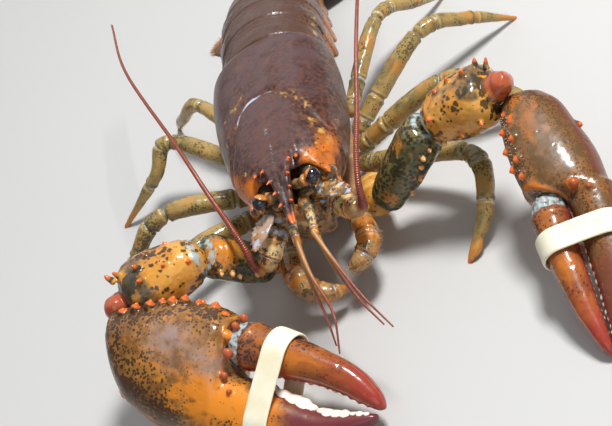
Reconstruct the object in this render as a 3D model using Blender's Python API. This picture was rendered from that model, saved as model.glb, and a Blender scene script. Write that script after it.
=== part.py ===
"""American lobster, life size, as a still model in separate shell plates.

The animal faces -Y, its left side is +X, and the floor is z = 0. Sizes are in millimetres,
turned to metres when a mesh is made. y = 0 is the rear edge of the carapace while it is drawn;
the whole animal is then set with the middle of its box over the origin.
"""
import math

import bmesh
import bpy
from mathutils import Matrix, Vector

MM = 0.001
GAP = 0.6                  # clear space at each joint
LEFT, RIGHT = 1, -1        # the animal's own sides, as the sign of x

# Driving dimensions
CARAPACE = 90.0            # eye socket to rear edge
BACK_Z = 62.5              # top of the back above the floor
HALF_WIDTH = 27.5          # carapace at its widest
ROSTRUM = 26.0             # beyond the eye socket
TAIL_RINGS = 6
TAIL_RING_LENGTH = 16.0
BAND_WIDTH = 9.0
BAND_THICKNESS = 1.3

COLOURS = {
    "shell_dark": ((0.070, 0.036, 0.026), 0.25),
    "shell_claw": ((0.110, 0.047, 0.022), 0.25),
    "shell_mottled": ((0.230, 0.115, 0.030), 0.3),
    "leg_green": ((0.200, 0.150, 0.050), 0.35),
    "feeler_red": ((0.260, 0.045, 0.018), 0.35),
    "mouth_tan": ((0.300, 0.150, 0.060), 0.4),
    "eye_black": ((0.008, 0.008, 0.012), 0.08),
    "band_cream": ((0.850, 0.780, 0.520), 0.5),
}


def clear_scene():
    for thing in list(bpy.data.objects):
        bpy.data.objects.remove(thing)


def material(name):
    found = bpy.data.materials.get(name)
    if found:
        return found
    colour, roughness = COLOURS[name]
    made = bpy.data.materials.new(name)
    made.use_nodes = True
    shader = made.node_tree.nodes["Principled BSDF"]
    shader.inputs["Base Color"].default_value = (*colour, 1.0)
    shader.inputs["Roughness"].default_value = roughness
    shader.inputs["Metallic"].default_value = 0.0
    return made


# --- shape tools ---------------------------------------------------------------------------

def mix(a, b, share):
    return a + (b - a) * share


def along(stations, where):
    """The values at `where` of a table of (place, value, value, ...), eased between its rows."""
    if where <= stations[0][0]:
        return stations[0][1:]
    for low, high in zip(stations, stations[1:]):
        if where <= high[0]:
            share = (where - low[0]) / (high[0] - low[0])
            ease = share * share * (3 - 2 * share) * 0.5 + share * 0.5
            return tuple(mix(a, b, ease) for a, b in zip(low[1:], high[1:]))
    return stations[-1][1:]


def smooth_path(points, place):
    """Point and direction at `place` (0 to len - 1) of the smooth curve through the points."""
    points = [Vector(p) for p in points]
    index = min(int(place), len(points) - 2)
    t = place - index
    a, b = points[index], points[index + 1]
    before = points[index - 1] if index else a - (b - a)
    after = points[index + 2] if index + 2 < len(points) else b + (b - a)
    slope_a, slope_b = (b - before) / 2, (after - a) / 2
    point = ((2 * t**3 - 3 * t**2 + 1) * a + (t**3 - 2 * t**2 + t) * slope_a
             + (3 * t**2 - 2 * t**3) * b + (t**3 - t**2) * slope_b)
    direction = ((6 * t**2 - 6 * t) * a + (3 * t**2 - 4 * t + 1) * slope_a
                 + (6 * t - 6 * t**2) * b + (3 * t**2 - 2 * t) * slope_b)
    return point, direction.normalized()


def oval(centre, side, up, half_side, half_up, count, power=2.2):
    ring = []
    for step in range(count):
        angle = 2 * math.pi * (step + 0.5) / count
        c, s = math.cos(angle), math.sin(angle)
        ring.append(centre
                    + side * (math.copysign(abs(c) ** (2 / power), c) * half_side)
                    + up * (math.copysign(abs(s) ** (2 / power), s) * half_up))
    return ring


def solid(name, rings, finish):
    """One closed body through the rings, its ends closed over a middle point."""
    mesh = bmesh.new()
    rows = [[mesh.verts.new(p * MM) for p in ring] for ring in rings]
    count = len(rows[0])
    for low, high in zip(rows, rows[1:]):
        for step in range(count):
            after = (step + 1) % count
            mesh.faces.new((low[step], low[after], high[after], high[step]))
    for row in (rows[0], rows[-1]):
        middle = mesh.verts.new(sum((v.co for v in row), Vector()) / count)
        for step in range(count):
            mesh.faces.new((row[step], row[(step + 1) % count], middle))
    bmesh.ops.recalc_face_normals(mesh, faces=mesh.faces)
    return finished(name, mesh, finish)


def finished(name, mesh, finish):
    data = bpy.data.meshes.new(name)
    mesh.to_mesh(data)
    mesh.free()
    data.materials.append(material(finish))
    data.shade_smooth()
    made = bpy.data.objects.new(name, data)
    bpy.context.scene.collection.objects.link(made)
    return made


def limb(name, path, first, last, sizes, finish, count=8, rings=6, up=(0, 0, 1), power=2.2,
         inset=GAP / 2):
    """A jointed piece on the stretch of a smooth path between two of its points."""
    whole = (Vector(path[last]) - Vector(path[first])).length
    trim = inset / whole * (last - first)
    made = []
    for step in range(rings):
        share = step / (rings - 1)
        point, direction = smooth_path(path, mix(first + trim, last - trim, share))
        side = direction.cross(Vector(up)).normalized()
        over = side.cross(direction).normalized()
        half_side, half_up = along(sizes, share)
        made.append(oval(point, side, over, half_side, half_up, count, power))
    return solid(name, made, finish)


def join(base, *others):
    """Welds overlapping bodies into one."""
    for other in others:
        tool = base.modifiers.new("union", "BOOLEAN")
        tool.operation = "UNION"
        tool.solver = "EXACT"
        tool.object = other
        bpy.context.view_layer.update()
        graph = bpy.context.evaluated_depsgraph_get()
        welded = bpy.data.meshes.new_from_object(base.evaluated_get(graph))
        base.modifiers.remove(tool)
        base.data = welded
        bpy.data.objects.remove(other)
    return base


def cut(base, cutter):
    """Takes the cutter's body out of the base."""
    tool = base.modifiers.new("cut", "BOOLEAN")
    tool.operation = "DIFFERENCE"
    tool.solver = "EXACT"
    tool.object = cutter
    bpy.context.view_layer.update()
    graph = bpy.context.evaluated_depsgraph_get()
    left = bpy.data.meshes.new_from_object(base.evaluated_get(graph))
    base.modifiers.remove(tool)
    base.data = left
    bpy.data.objects.remove(cutter)
    return base


def thorn(root, tip, radius, finish):
    """A blunt spine, its root buried in what it grows from."""
    sizes = tuple((place, radius * share, radius * share)
                  for place, share in ((0.0, 1.0), (0.7, 0.62), (1.0, 0.28)))
    return limb("thorn", [root, tip], 0, 1, sizes, finish, count=5, rings=3, up=(0.31, 0.17, 0.93), inset=0)


# --- trunk ---------------------------------------------------------------------------------

# y, half width, top, underside of the shield
SHIELD = (
    (0.0, HALF_WIDTH - 3.5, 59.0, 22.0),
    (-7.0, HALF_WIDTH - 1.2, 61.3, 19.0),
    (-24.0, HALF_WIDTH, BACK_Z, 17.0),
    (-44.0, HALF_WIDTH - 0.8, BACK_Z, 17.0),
    (-62.0, HALF_WIDTH - 3.2, BACK_Z - 0.8, 20.0),
    (-78.0, HALF_WIDTH - 6.5, BACK_Z - 2.8, 24.0),
    (-CARAPACE, HALF_WIDTH - 10.5, BACK_Z - 6.5, 28.0),
)
FRONT_SLANT = 9.0          # how far the lower front corners stand behind the eyes
SHIELD_POINTS = 20


def shield_ring(y):
    """An arch with full sides that tuck in at the foot, and a flat underside."""
    half, top, low = along([(-s[0], *s[1:]) for s in SHIELD], -y)
    widest = low + (top - low) * 0.56
    slant = FRONT_SLANT * max(0.0, (-y / CARAPACE - 0.6) / 0.4) ** 2
    ring = []
    for step in range(SHIELD_POINTS):
        angle = 2 * math.pi * (step + 0.5) / SHIELD_POINTS
        c, s = math.cos(angle), math.sin(angle)
        x = half * math.copysign(abs(c) ** 0.85, c)
        if s < 0:
            x *= 1 - 0.30 * abs(s)
        z = widest + (top - widest) * s if s > 0 else widest - (widest - low) * abs(s) ** 0.6
        ring.append(Vector((x, y + slant * (top - z) / (top - low), z)))
    return ring


# the spines of the beak: how far before the eye socket, how far out, height
BEAK_THORNS = ((-4.0, 5.6, 57.4), (3.6, 4.0, 56.4), (9.6, 3.2, 54.9), (16.2, 2.2, 53.4))


def carapace():
    rings = [shield_ring(y) for y in (0, -4, -14, -28, -42, -56, -70, -81, -CARAPACE)]
    shield = solid("carapace", rings, "shell_dark")
    beak_path = [(0, -74, 56.0), (0, -88, 56.6), (0, -101, 53.5), (0, -CARAPACE - ROSTRUM, 50.5)]
    beak_sizes = ((0.0, 8.0, 3.0), (0.3, 5.8, 2.8), (0.45, 4.4, 2.6), (0.62, 3.4, 2.2),
                  (0.8, 2.3, 1.6), (1.0, 0.6, 0.6))
    beak = limb("beak", beak_path, 0, 3, beak_sizes, "shell_dark", count=8, rings=7)
    join(shield, beak)
    for side in (LEFT, RIGHT):
        for back, out, rise in BEAK_THORNS:
            root = Vector((side * (out - 1.3), -CARAPACE - back + 1.4, rise - 0.4))
            tip = Vector((side * (out + 1.0), -CARAPACE - back - 2.4, rise + 1.4))
            join(shield, thorn(root, tip, 1.1, "shell_dark"))
    return shield


def thorax_floor():
    """The plate between the legs, from the mouth to the waist."""
    sizes = ((0.0, 15.0, 2.4), (0.25, 18.0, 3.5), (0.65, 17.4, 3.5), (0.85, 14.5, 3.2), (1.0, 7.5, 2.4))
    path = [(0, -5, 16.0), (0, -20, 12.6), (0, -50, 12.6), (0, -76, 17.0)]
    return limb("sternum", path, 0, 3, sizes, "mouth_tan", count=10, rings=7, power=3.2)


def face():
    """The jaws and the plate between the feelers, under the beak."""
    sizes = ((0.0, 6.0, 2.2), (0.35, 7.0, 3.0), (0.7, 8.0, 3.2), (1.0, 6.6, 2.4))
    path = [(0, -78, 19.6), (0, -85, 22.6), (0, -93.0, 31.0), (0, -94.5, 43.0)]
    return limb("jaws", path, 0, 3, sizes, "mouth_tan", count=8, rings=7)


# --- tail ----------------------------------------------------------------------------------

# place along the tail in rings, half width, top, foot of the side flap, underside
TAIL = (
    (0.0, 21.0, 56.0, 27.0, 33.0),
    (1.0, 23.0, 56.8, 21.0, 31.0),
    (2.0, 23.5, 55.5, 17.0, 29.0),
    (3.0, 23.0, 52.5, 15.0, 26.0),
    (4.0, 21.5, 47.5, 12.5, 22.5),
    (5.0, 20.2, 41.0, 9.5, 18.0),
    (6.0, 18.0, 28.0, 8.0, 14.0),
)
ARCH_POINTS = 11


def tail_ring(place, reach=1.0, shrink=0.0):
    """A section of the tail: an arch that ends in a flap on each side, hollow underneath."""
    half, top, foot, under = along(TAIL, place)
    half, top = half - shrink, top - shrink
    foot = mix(under, foot, reach)
    y = 1.2 + place * TAIL_RING_LENGTH
    waist = under + 6.0
    points = []
    for step in range(ARCH_POINTS):
        angle = math.pi * step / (ARCH_POINTS - 1)
        points.append(Vector((half * math.cos(angle), y, waist + (top - waist) * math.sin(angle))))
    flap = 3.2
    ring = points + [
        Vector((-half + 0.6, y, foot)),
        Vector((-half + flap, y, foot + 0.4)),
        Vector((-half + flap + 1.4, y, under)),
        Vector((half - flap - 1.4, y, under)),
        Vector((half - flap, y, foot + 0.4)),
        Vector((half - 0.6, y, foot)),
    ]
    return ring


def tail_segments():
    made = []
    for index in range(TAIL_RINGS):
        first = index + GAP / 2 / TAIL_RING_LENGTH
        last = index + 1 - GAP / 2 / TAIL_RING_LENGTH
        middle = index + 0.5
        rings = [tail_ring(first, 0.55, 0.8), tail_ring(middle, 1.0), tail_ring(last, 0.75)]
        ring = solid(f"tail_segment_{index + 1}", rings, "shell_dark")
        if 1 <= index <= 4:
            ring = join(ring, *[swimmeret(index, side) for side in (LEFT, RIGHT)])
        made.append(ring)
    return made


def swimmeret(index, side):
    """A paddle under the tail, grown from its segment."""
    half, _, _, under = along(TAIL, index + 0.5)
    y = 1.2 + (index + 0.5) * TAIL_RING_LENGTH
    root = Vector((side * (half - 9.5), y, under + 2.0))
    middle = root + Vector((side * 0.5, 3.0, -6.0))
    tip = middle + Vector((side * 1.0, 4.2, -6.2))
    sizes = ((0.0, 2.0, 1.0), (0.5, 3.4, 0.8), (1.0, 1.2, 0.5))
    return limb(f"paddle_{index}_{side}", [root, middle, tip], 0, 2, sizes, "shell_dark",
                count=6, rings=3, up=(0, -1, 0.4), inset=0)


FAN_ROOT_Y = 1.2 + TAIL_RINGS * TAIL_RING_LENGTH + GAP


def fan_plate(name, root, tip, width, sag, bend=0.0):
    """A tail-fan blade: a lens that widens to a round end and lies down to the floor."""
    root, tip = Vector(root), Vector(tip)
    middle = (root + tip) / 2 + Vector((bend, 0, -sag))
    sizes = ((0.0, width * 0.34, 2.0), (0.25, width * 0.74, 1.9), (0.6, width, 1.6),
             (0.86, width * 0.86, 1.2), (1.0, width * 0.42, 0.5))
    return limb(name, [root, middle, tip], 0, 2, sizes, "shell_dark", count=8, rings=7, power=2.4, inset=0)


def tail_fan():
    y = FAN_ROOT_Y
    return [
        fan_plate("telson", (0, y + 0.8, 18.8), (0, y + 31, 0.2), 9.4, 2.4),
        fan_plate("fan_inner_left", (9.5, y + 0.6, 13.0), (20.5, y + 31, 0.2), 7.8, 3.4, 0.5),
        fan_plate("fan_inner_right", (-9.5, y + 0.6, 13.0), (-20.5, y + 31, 0.2), 7.8, 3.4, -0.5),
        fan_plate("fan_outer_left", (18.2, y + 0.6, 9.0), (38.5, y + 22, 0.3), 8.2, 2.6, 1.4),
        fan_plate("fan_outer_right", (-18.2, y + 0.6, 9.0), (-38.5, y + 22, 0.3), 8.2, 2.6, -1.4),
    ]


# --- head ----------------------------------------------------------------------------------

def eye(side):
    word = "left" if side == LEFT else "right"
    stalk_path = [(side * 4.6, -92.6, 49.6), (side * 8.6, -94.4, 51.2)]
    stalk = limb(f"eyestalk_{word}", stalk_path, 0, 1, ((0.0, 2.0, 1.9), (1.0, 2.6, 2.5)), "mouth_tan",
                 count=8, rings=3)
    ball_path = [(side * 8.6, -94.4, 51.2), (side * 13.6, -96.0, 52.6)]
    ball_sizes = ((0.0, 1.8, 1.8), (0.2, 2.65, 2.65), (0.55, 2.9, 2.9), (0.85, 2.1, 2.1), (1.0, 0.9, 0.9))
    ball = limb(f"eye_{word}", ball_path, 0, 1, ball_sizes, "eye_black", count=10, rings=6, power=2.0)
    return stalk, ball


# start, bend, end of each antenna stem, and the route of its feeler
STEMS = {
    LEFT: ((13.0, -91.5, 36.5), (17.0, -100.0, 35.5), (22.6, -105.5, 36.0)),
    RIGHT: ((-13.0, -92.0, 36.5), (-17.0, -100.5, 33.5), (-23.0, -104.5, 29.4)),
}
FEELERS = {
    LEFT: ((23.6, -108.2, 40.2), (26.4, -107.0, 47.0), (31.0, -98.0, 55.0), (36.0, -85.0, 60.0),
           (45.0, -42.0, 65.0), (56.0, 24.0, 63.0), (62.0, 88.0, 50.0)),
    RIGHT: ((-25.2, -103.8, 34.0), (-23.6, -104.6, 42.0), (-25.4, -97.0, 50.0), (-30.0, -80.0, 56.0),
            (-39.0, -45.0, 61.0), (-58.0, 24.0, 62.0), (-70.0, 92.0, 50.0)),
}
SCALES = {
    LEFT: ((11.5, -95.5, 44.2), (16.4, -101.0, 45.2), (21.2, -106.5, 44.6)),
    RIGHT: ((-12.4, -95.5, 43.6), (-16.6, -101.0, 43.4), (-20.6, -106.4, 41.0)),
}
SPRIGS = {
    LEFT: (((3.6, -113.4, 41.4), (8.0, -130.0, 40.0), (14.0, -150.0, 35.0), (21.0, -167.0, 28.0)),
           ((4.0, -113.4, 39.0), (7.0, -131.0, 36.6), (12.0, -148.0, 31.0), (17.0, -160.0, 25.0))),
    RIGHT: (((-3.6, -113.4, 41.0), (-1.5, -132.0, 39.0), (1.5, -149.0, 32.0), (-2.5, -160.0, 22.0)),
            ((-4.2, -113.4, 38.6), (-3.4, -131.0, 35.6), (-2.4, -145.0, 29.0), (-3.4, -154.0, 21.0))),
}


def antenna(side):
    word = "left" if side == LEFT else "right"
    stem_sizes = ((0.0, 5.4, 5.2), (0.35, 4.8, 4.6), (0.7, 3.8, 3.8), (1.0, 3.0, 3.0))
    stem = limb(f"antenna_stem_{word}", STEMS[side], 0, 2, stem_sizes, "mouth_tan", count=8, rings=6)
    feeler_sizes = ((0.0, 1.9, 1.9), (0.15, 1.5, 1.5), (0.5, 1.0, 1.0), (1.0, 0.45, 0.45))
    feeler = limb(f"feeler_{word}", FEELERS[side], 0, 6, feeler_sizes, "feeler_red", count=6, rings=22,
                  up=(side, 0, 0.2))
    scale_sizes = ((0.0, 2.6, 0.8), (0.5, 3.6, 0.8), (1.0, 0.6, 0.5))
    scale = limb(f"antenna_scale_{word}", SCALES[side], 0, 2, scale_sizes, "mouth_tan", count=6, rings=5)
    return stem, feeler, scale


def antennule(side):
    """The small forked feeler under the beak: a stem and two whips, one body."""
    word = "left" if side == LEFT else "right"
    stem_path = [(side * 3.8, -98.4, 43.0), (side * 3.9, -106.0, 41.6), (side * 3.8, -114.0, 40.2)]
    stem_sizes = ((0.0, 2.4, 2.3), (0.5, 1.9, 1.9), (1.0, 1.7, 2.2))
    whip_sizes = ((0.0, 0.85, 0.85), (0.4, 0.65, 0.65), (1.0, 0.35, 0.35))
    made = limb(f"antennule_{word}", stem_path, 0, 2, stem_sizes, "mouth_tan", count=8, rings=5)
    whips = [limb(f"whip_{n}_{word}", route, 0, 3, whip_sizes, "feeler_red", count=6, rings=7,
                  up=(side, 0, 0.2), inset=0)
             for n, route in enumerate(SPRIGS[side])]
    return join(made, *whips)


# the left one folds over the right one, as it happens to lie
JAW_LEGS = {
    LEFT: ((11.5, -76.0, 18.5), (16.0, -92.0, 19.5), (16.5, -104.0, 19.5), (11.0, -109.5, 17.5),
           (5.5, -107.0, 15.0)),
    RIGHT: ((-11.5, -76.0, 18.5), (-15.5, -91.0, 18.5), (-14.5, -104.0, 16.5), (-6.5, -110.5, 12.0),
            (1.0, -109.5, 9.0)),
}


def mouth_leg(side):
    """The third maxilliped: a bent leg-like mouthpart that covers the jaws."""
    word = "left" if side == LEFT else "right"
    path = JAW_LEGS[side]
    sizes = ((0.0, 3.0, 3.4), (0.3, 4.4, 4.4), (0.6, 4.4, 4.0), (0.85, 3.0, 2.8), (1.0, 0.9, 0.9))
    return limb(f"maxilliped_{word}", path, 0, 4, sizes, "mouth_tan", count=8, rings=10, up=(0, 0, 1))


# --- great claws ---------------------------------------------------------------------------

# hip, thigh joint, elbow, wrist of each arm, and the claw's heel and tip
ARMS = {
    LEFT: ((20.6, -60.0, 13.0), (24.5, -83.0, 16.5), (57.0, -87.0, 43.0), (86.5, -97.5, 50.0)),
    RIGHT: ((-20.6, -60.0, 13.0), (-25.0, -85.0, 15.5), (-41.0, -96.0, 43.5), (-74.5, -101.5, 45.5)),
}


class Claw:
    """A claw's own frame: along it, towards its thumb, and out of its broad face."""

    def __init__(self, heel, tip, face):
        self.heel = Vector(heel)
        self.ahead = (Vector(tip) - self.heel).normalized()
        face = Vector(face)
        self.face = (face - self.ahead * face.dot(self.ahead)).normalized()
        self.length = (Vector(tip) - self.heel).length

    def thumbward(self, side):
        return self.ahead.cross(self.face) * side

    def ring(self, side, place, middle, half, thick, count, power=2.3):
        centre = self.heel + self.ahead * place + self.thumbward(side) * middle
        return oval(centre, self.thumbward(side), self.face, half, thick, count, power)


CRUSHER = Claw((-86.5, -111.0, 38.2), (5.0, -181.5, 8.3), (-0.20, -0.58, 0.79))
CUTTER = Claw((98.5, -100.5, 43.0), (86.5, -206.0, -0.1), (0.16, -0.42, 0.90))

# place along the claw, middle towards the thumb, half width, half thickness
CRUSHER_PALM = (
    (0.0, 7.5, 5.0, 5.0), (3, 5.0, 9.0, 8.0), (8, 1.8, 13.4, 11.0), (18, -1.2, 19.4, 13.8),
    (34, -1.9, 23.6, 15.2), (46, -2.0, 24.0, 15.0), (54, -3.6, 22.8, 13.8), (58, -12.8, 13.4, 12.4),
    (70, -13.2, 11.8, 11.4), (85, -12.8, 8.9, 9.4), (96, -11.6, 6.0, 7.2), (106, -8.6, 4.5, 5.2),
    (112, -5.8, 3.2, 3.8), (117.5, -3.0, 1.3, 1.6),
)
CRUSHER_THUMB = (
    (55.0, 11.0, 7.6, 9.0), (60, 11.0, 8.8, 10.2), (72, 10.4, 8.2, 9.4), (84, 10.0, 7.2, 8.2),
    (94, 9.1, 6.2, 7.0), (102, 7.8, 5.8, 6.0), (109, 5.8, 5.1, 5.0), (115, 3.3, 3.6, 3.6),
    (119.5, 1.0, 1.6, 1.8),
)
CUTTER_PALM = (
    (0.0, 6.0, 5.0, 4.6), (3, 5.6, 7.8, 6.6), (9, 4.2, 11.1, 9.2), (18, 3.4, 13.0, 11.0),
    (28, 1.8, 14.4, 12.0), (35, 0.6, 14.8, 12.2), (40, -0.2, 14.6, 12.0), (45, -1.6, 13.6, 11.2),
    (48, -8.0, 9.0, 10.4), (64, -8.4, 8.4, 8.9), (82, -7.4, 7.1, 7.2), (95, -5.6, 5.3, 5.4),
    (104, -3.4, 3.2, 3.6), (109.2, -1.4, 1.2, 1.4),
)
CUTTER_THUMB = (
    (44.5, 7.8, 6.0, 7.8), (50, 8.0, 6.7, 8.5), (66, 7.6, 6.1, 7.6), (84, 6.2, 5.0, 6.2),
    (96, 4.4, 3.7, 4.8), (104, 3.0, 2.4, 3.2), (108.6, 1.9, 1.0, 1.3),
)


# spines along the palm's inner edge: along the claw, towards the thumb, out of the broad face
PALM_THORNS = {
    RIGHT: ((10, 14.2, 5.5), (17, 16.8, 5.0), (24, 18.6, 4.5), (31, 19.7, 4.5), (39, 20.2, 4.5)),
    LEFT: ((9, 13.8, 4.5), (16, 14.8, 4.0), (23, 15.0, 4.0), (30, 14.6, 4.0), (38, 13.6, 4.0)),
}


def palm_thorns(side, more=0.0):
    frame = CRUSHER if side == RIGHT else CUTTER
    push = (frame.thumbward(side) * 0.9 + frame.face * 0.35 + frame.ahead * 0.2).normalized()
    made = []
    for place, across, out in PALM_THORNS[side]:
        root = frame.heel + frame.ahead * place + frame.thumbward(side) * across + frame.face * out
        made.append(thorn(root - push * 1.7, root + push * (2.6 + more), 1.8 + more, "shell_claw"))
    return made


def claw(side):
    """Palm with its fixed finger, thumb, and the rubber band round both."""
    word, frame, palm, thumb, band_at = {
        RIGHT: ("crusher", CRUSHER, CRUSHER_PALM, CRUSHER_THUMB, 71.5),
        LEFT: ("cutter", CUTTER, CUTTER_PALM, CUTTER_THUMB, 60.0),
    }[side]
    rings = [frame.ring(side, *row, 12) for row in palm]
    hand = solid(f"{word}_palm", rings, "shell_claw")
    join(hand, *palm_thorns(side))
    rings = [frame.ring(side, *row, 10) for row in thumb]
    finger = solid(f"{word}_thumb", rings, "shell_claw")
    rows = [(place, middle, half + GAP, thick + GAP) for place, middle, half, thick in thumb]
    rows[0] = (rows[0][0] - GAP, *rows[0][1:])
    rows[-1] = (rows[-1][0] + GAP, *rows[-1][1:])
    cut(hand, solid("socket", [frame.ring(side, *row, 10) for row in rows], "shell_claw"))
    loop = band(f"band_{word}", frame, side, palm, thumb, band_at)
    return hand, finger, loop


def hull_outline(frame, side, place, palm, thumb, clear, count=24):
    """The loop that a stretched band takes round both fingers at one place."""
    ovals = []
    for table in (palm, thumb):
        middle, half, thick = along(table, place)
        ovals.append((middle, half + clear, thick + clear))
    outline = []
    for step in range(count):
        angle = 2 * math.pi * step / count
        c, s = math.cos(angle), math.sin(angle)
        best = None
        for middle, half, thick in ovals:
            reach = math.hypot(half * c, thick * s)
            support = middle * c + reach
            point = (middle + half * half * c / reach, thick * thick * s / reach)
            if best is None or support > best[0]:
                best = (support, point)
        outline.append(best[1])
    middle = frame.heel + frame.ahead * place
    return [middle + frame.thumbward(side) * across + frame.face * out for across, out in outline]


def band(name, frame, side, palm, thumb, place):
    """A flat elastic loop: two outer and two inner edges joined into one closed strip."""
    clear = 0.7
    ends = (place, place + BAND_WIDTH)
    loops = [hull_outline(frame, side, ends[0], palm, thumb, clear),
             hull_outline(frame, side, ends[0], palm, thumb, clear + BAND_THICKNESS),
             hull_outline(frame, side, ends[1], palm, thumb, clear + BAND_THICKNESS),
             hull_outline(frame, side, ends[1], palm, thumb, clear)]
    mesh = bmesh.new()
    rows = [[mesh.verts.new(p * MM) for p in loop] for loop in loops]
    for low, high in zip(rows, rows[1:] + rows[:1]):
        for step in range(len(low)):
            after = (step + 1) % len(low)
            mesh.faces.new((low[step], low[after], high[after], high[step]))
    bmesh.ops.recalc_face_normals(mesh, faces=mesh.faces)
    return finished(name, mesh, "band_cream")


HIP_SIZES = ((0.0, 5.2, 5.0), (0.5, 6.6, 6.2), (1.0, 6.2, 6.2))
MERUS_SIZES = ((0.0, 5.0, 5.0), (0.15, 7.0, 7.0), (0.6, 9.6, 8.4), (0.9, 9.4, 8.2), (1.0, 7.6, 6.4))
CARPUS_SIZES = ((0.0, 5.6, 5.6), (0.2, 10.0, 9.4), (0.65, 13.2, 11.6), (0.9, 12.4, 10.8), (1.0, 9.0, 8.0))


def widened(sizes):
    return tuple((place, *(value + GAP for value in values)) for place, *values in sizes)


def palm_socket(side):
    """The heel of the palm with clear space round it, to hollow the wrist with."""
    frame, table = (CRUSHER, CRUSHER_PALM) if side == RIGHT else (CUTTER, CUTTER_PALM)
    rows = [(place, middle, half + GAP, thick + GAP) for place, middle, half, thick in table[:7]]
    rows[0] = (rows[0][0] - GAP, *rows[0][1:])
    return solid("socket", [frame.ring(side, *row, 12) for row in rows], "shell_claw")


def arm(side):
    """The three pieces from the breast to the wrist. Each is hollowed to take the next."""
    word = "cutter" if side == LEFT else "crusher"
    hip_at, knee_at, elbow_at, wrist_at = [Vector(p) for p in ARMS[side]]
    hip = limb(f"{word}_hip", [hip_at, knee_at], 0, 1, HIP_SIZES, "shell_mottled", count=8, rings=4)
    merus = limb(f"{word}_merus", [knee_at, elbow_at], 0, 1, MERUS_SIZES, "shell_mottled",
                 count=10, rings=7)
    carpus = limb(f"{word}_carpus", [elbow_at, wrist_at], 0, 1, CARPUS_SIZES, "shell_mottled",
                  count=12, rings=7)
    knob_at, reach = Vector(KNOBS[side]), Vector((side * 5.0, 0, 1))
    knob_sizes = ((0.0, 2.6, 2.6), (0.3, 5.6, 5.6), (0.7, 5.6, 5.6), (1.0, 2.6, 2.6))
    knob = limb("knob", [knob_at - reach, knob_at + reach], 0, 1, knob_sizes, "shell_mottled",
                count=9, rings=4, inset=0)
    join(carpus, knob)
    cut(carpus, palm_socket(side))
    for spine in palm_thorns(side, GAP):
        cut(carpus, spine)
    elbow_end = limb("socket", [elbow_at, wrist_at], 0, 1, widened(CARPUS_SIZES), "shell_mottled",
                     count=12, inset=-GAP)
    cut(merus, elbow_end)
    merus_end = limb("socket", [knee_at, elbow_at], 0, 1, widened(MERUS_SIZES), "shell_mottled",
                     inset=-GAP)
    cut(hip, merus_end)
    return hip, merus, carpus


# the round knob on the outer corner of each wrist
KNOBS = {LEFT: (89.5, -102.0, 54.0), RIGHT: (-78.0, -105.0, 46.5)}


# --- walking legs --------------------------------------------------------------------------

# hip, knee, ankle, toe of each walking leg, front pair first
LEGS = {
    LEFT: (
        ((19.0, -45.0, 12.0), (62.5, -83.0, 21.0), (62.5, -106.0, 13.0), (47.0, -118.0, 0.1)),
        ((20.0, -34.0, 12.0), (63.0, -42.0, 27.0), (82.0, -50.0, 17.0), (98.0, -62.0, 0.1)),
        ((20.0, -23.0, 12.0), (59.0, -2.0, 27.0), (78.0, 8.0, 17.0), (96.0, 16.0, 0.1)),
        ((18.8, -11.0, 13.0), (44.0, 26.0, 26.0), (59.0, 42.0, 15.0), (71.0, 60.0, 0.1)),
    ),
    RIGHT: (
        ((-19.0, -45.0, 12.0), (-59.0, -62.0, 23.0), (-69.0, -84.0, 14.0), (-74.0, -106.0, 0.1)),
        ((-20.0, -34.0, 12.0), (-63.0, -34.0, 27.0), (-84.0, -38.0, 17.0), (-103.0, -47.0, 0.1)),
        ((-20.0, -23.0, 12.0), (-57.0, 14.0, 27.0), (-71.0, 10.5, 18.0), (-97.0, 13.5, 0.1)),
        ((-18.8, -11.0, 13.0), (-42.0, 32.0, 25.0), (-56.0, 47.0, 15.0), (-66.0, 66.0, 0.1)),
    ),
}


LEG_THICKNESS = (1.0, 1.0, 0.9, 0.8)


def scaled(sizes, by):
    return tuple((place, *(value * by for value in values)) for place, *values in sizes)


def pincer(path, thick):
    """The second finger of the small pincers that end the first two pairs of walking legs."""
    ankle, toe = Vector(path[2]), Vector(path[3])
    reach = (toe - ankle).normalized()
    out = Vector((0, 0, 1)).cross(reach).normalized()
    start = ankle + (toe - ankle) * 0.42
    route = [start, start + (toe - start) * 0.5 + out * 2.4 * thick, toe + out * 1.1 + Vector((0, 0, 1.0))]
    sizes = scaled(((0.0, 1.2, 1.2), (0.5, 1.5, 1.5), (1.0, 0.6, 0.6)), thick)
    return limb("finger", route, 0, 2, sizes, "leg_green", count=6, rings=5, inset=0)


def walking_leg(side, index):
    word = "left" if side == LEFT else "right"
    path = LEGS[side][index]
    thick = LEG_THICKNESS[index]
    thigh_sizes = ((0.0, 3.6, 3.4), (0.2, 4.0, 3.8), (0.6, 4.3, 4.0), (1.0, 3.4, 3.4))
    shin_sizes = ((0.0, 3.4, 3.4), (0.35, 3.7, 3.4), (0.65, 3.0, 2.8), (1.0, 0.9, 0.9))
    thigh = limb(f"leg_{index + 2}_thigh_{word}", path, 0, 1, scaled(thigh_sizes, thick), "leg_green",
                 count=8, rings=5)
    shin = limb(f"leg_{index + 2}_shin_{word}", path, 1, 3, scaled(shin_sizes, thick), "leg_green",
                count=8, rings=9)
    if index < 2:
        join(shin, pincer(path, thick))
    return thigh, shin


# --- feet and placing ----------------------------------------------------------------------

def level_foot(name):
    """Takes a sliver off the underside where a piece meets the floor, so that it stands on a flat."""
    thing = bpy.data.objects[name]
    mesh = bmesh.new()
    mesh.from_mesh(thing.data)
    geometry = mesh.verts[:] + mesh.edges[:] + mesh.faces[:]
    bmesh.ops.bisect_plane(mesh, geom=geometry, plane_co=(0, 0, 0), plane_no=(0, 0, -1), clear_outer=True)
    bmesh.ops.holes_fill(mesh, edges=[e for e in mesh.edges if e.is_boundary])
    bmesh.ops.recalc_face_normals(mesh, faces=mesh.faces)
    mesh.to_mesh(thing.data)
    mesh.free()


def lowest(thing):
    return min(v.co.z for v in thing.data.vertices)


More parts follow.
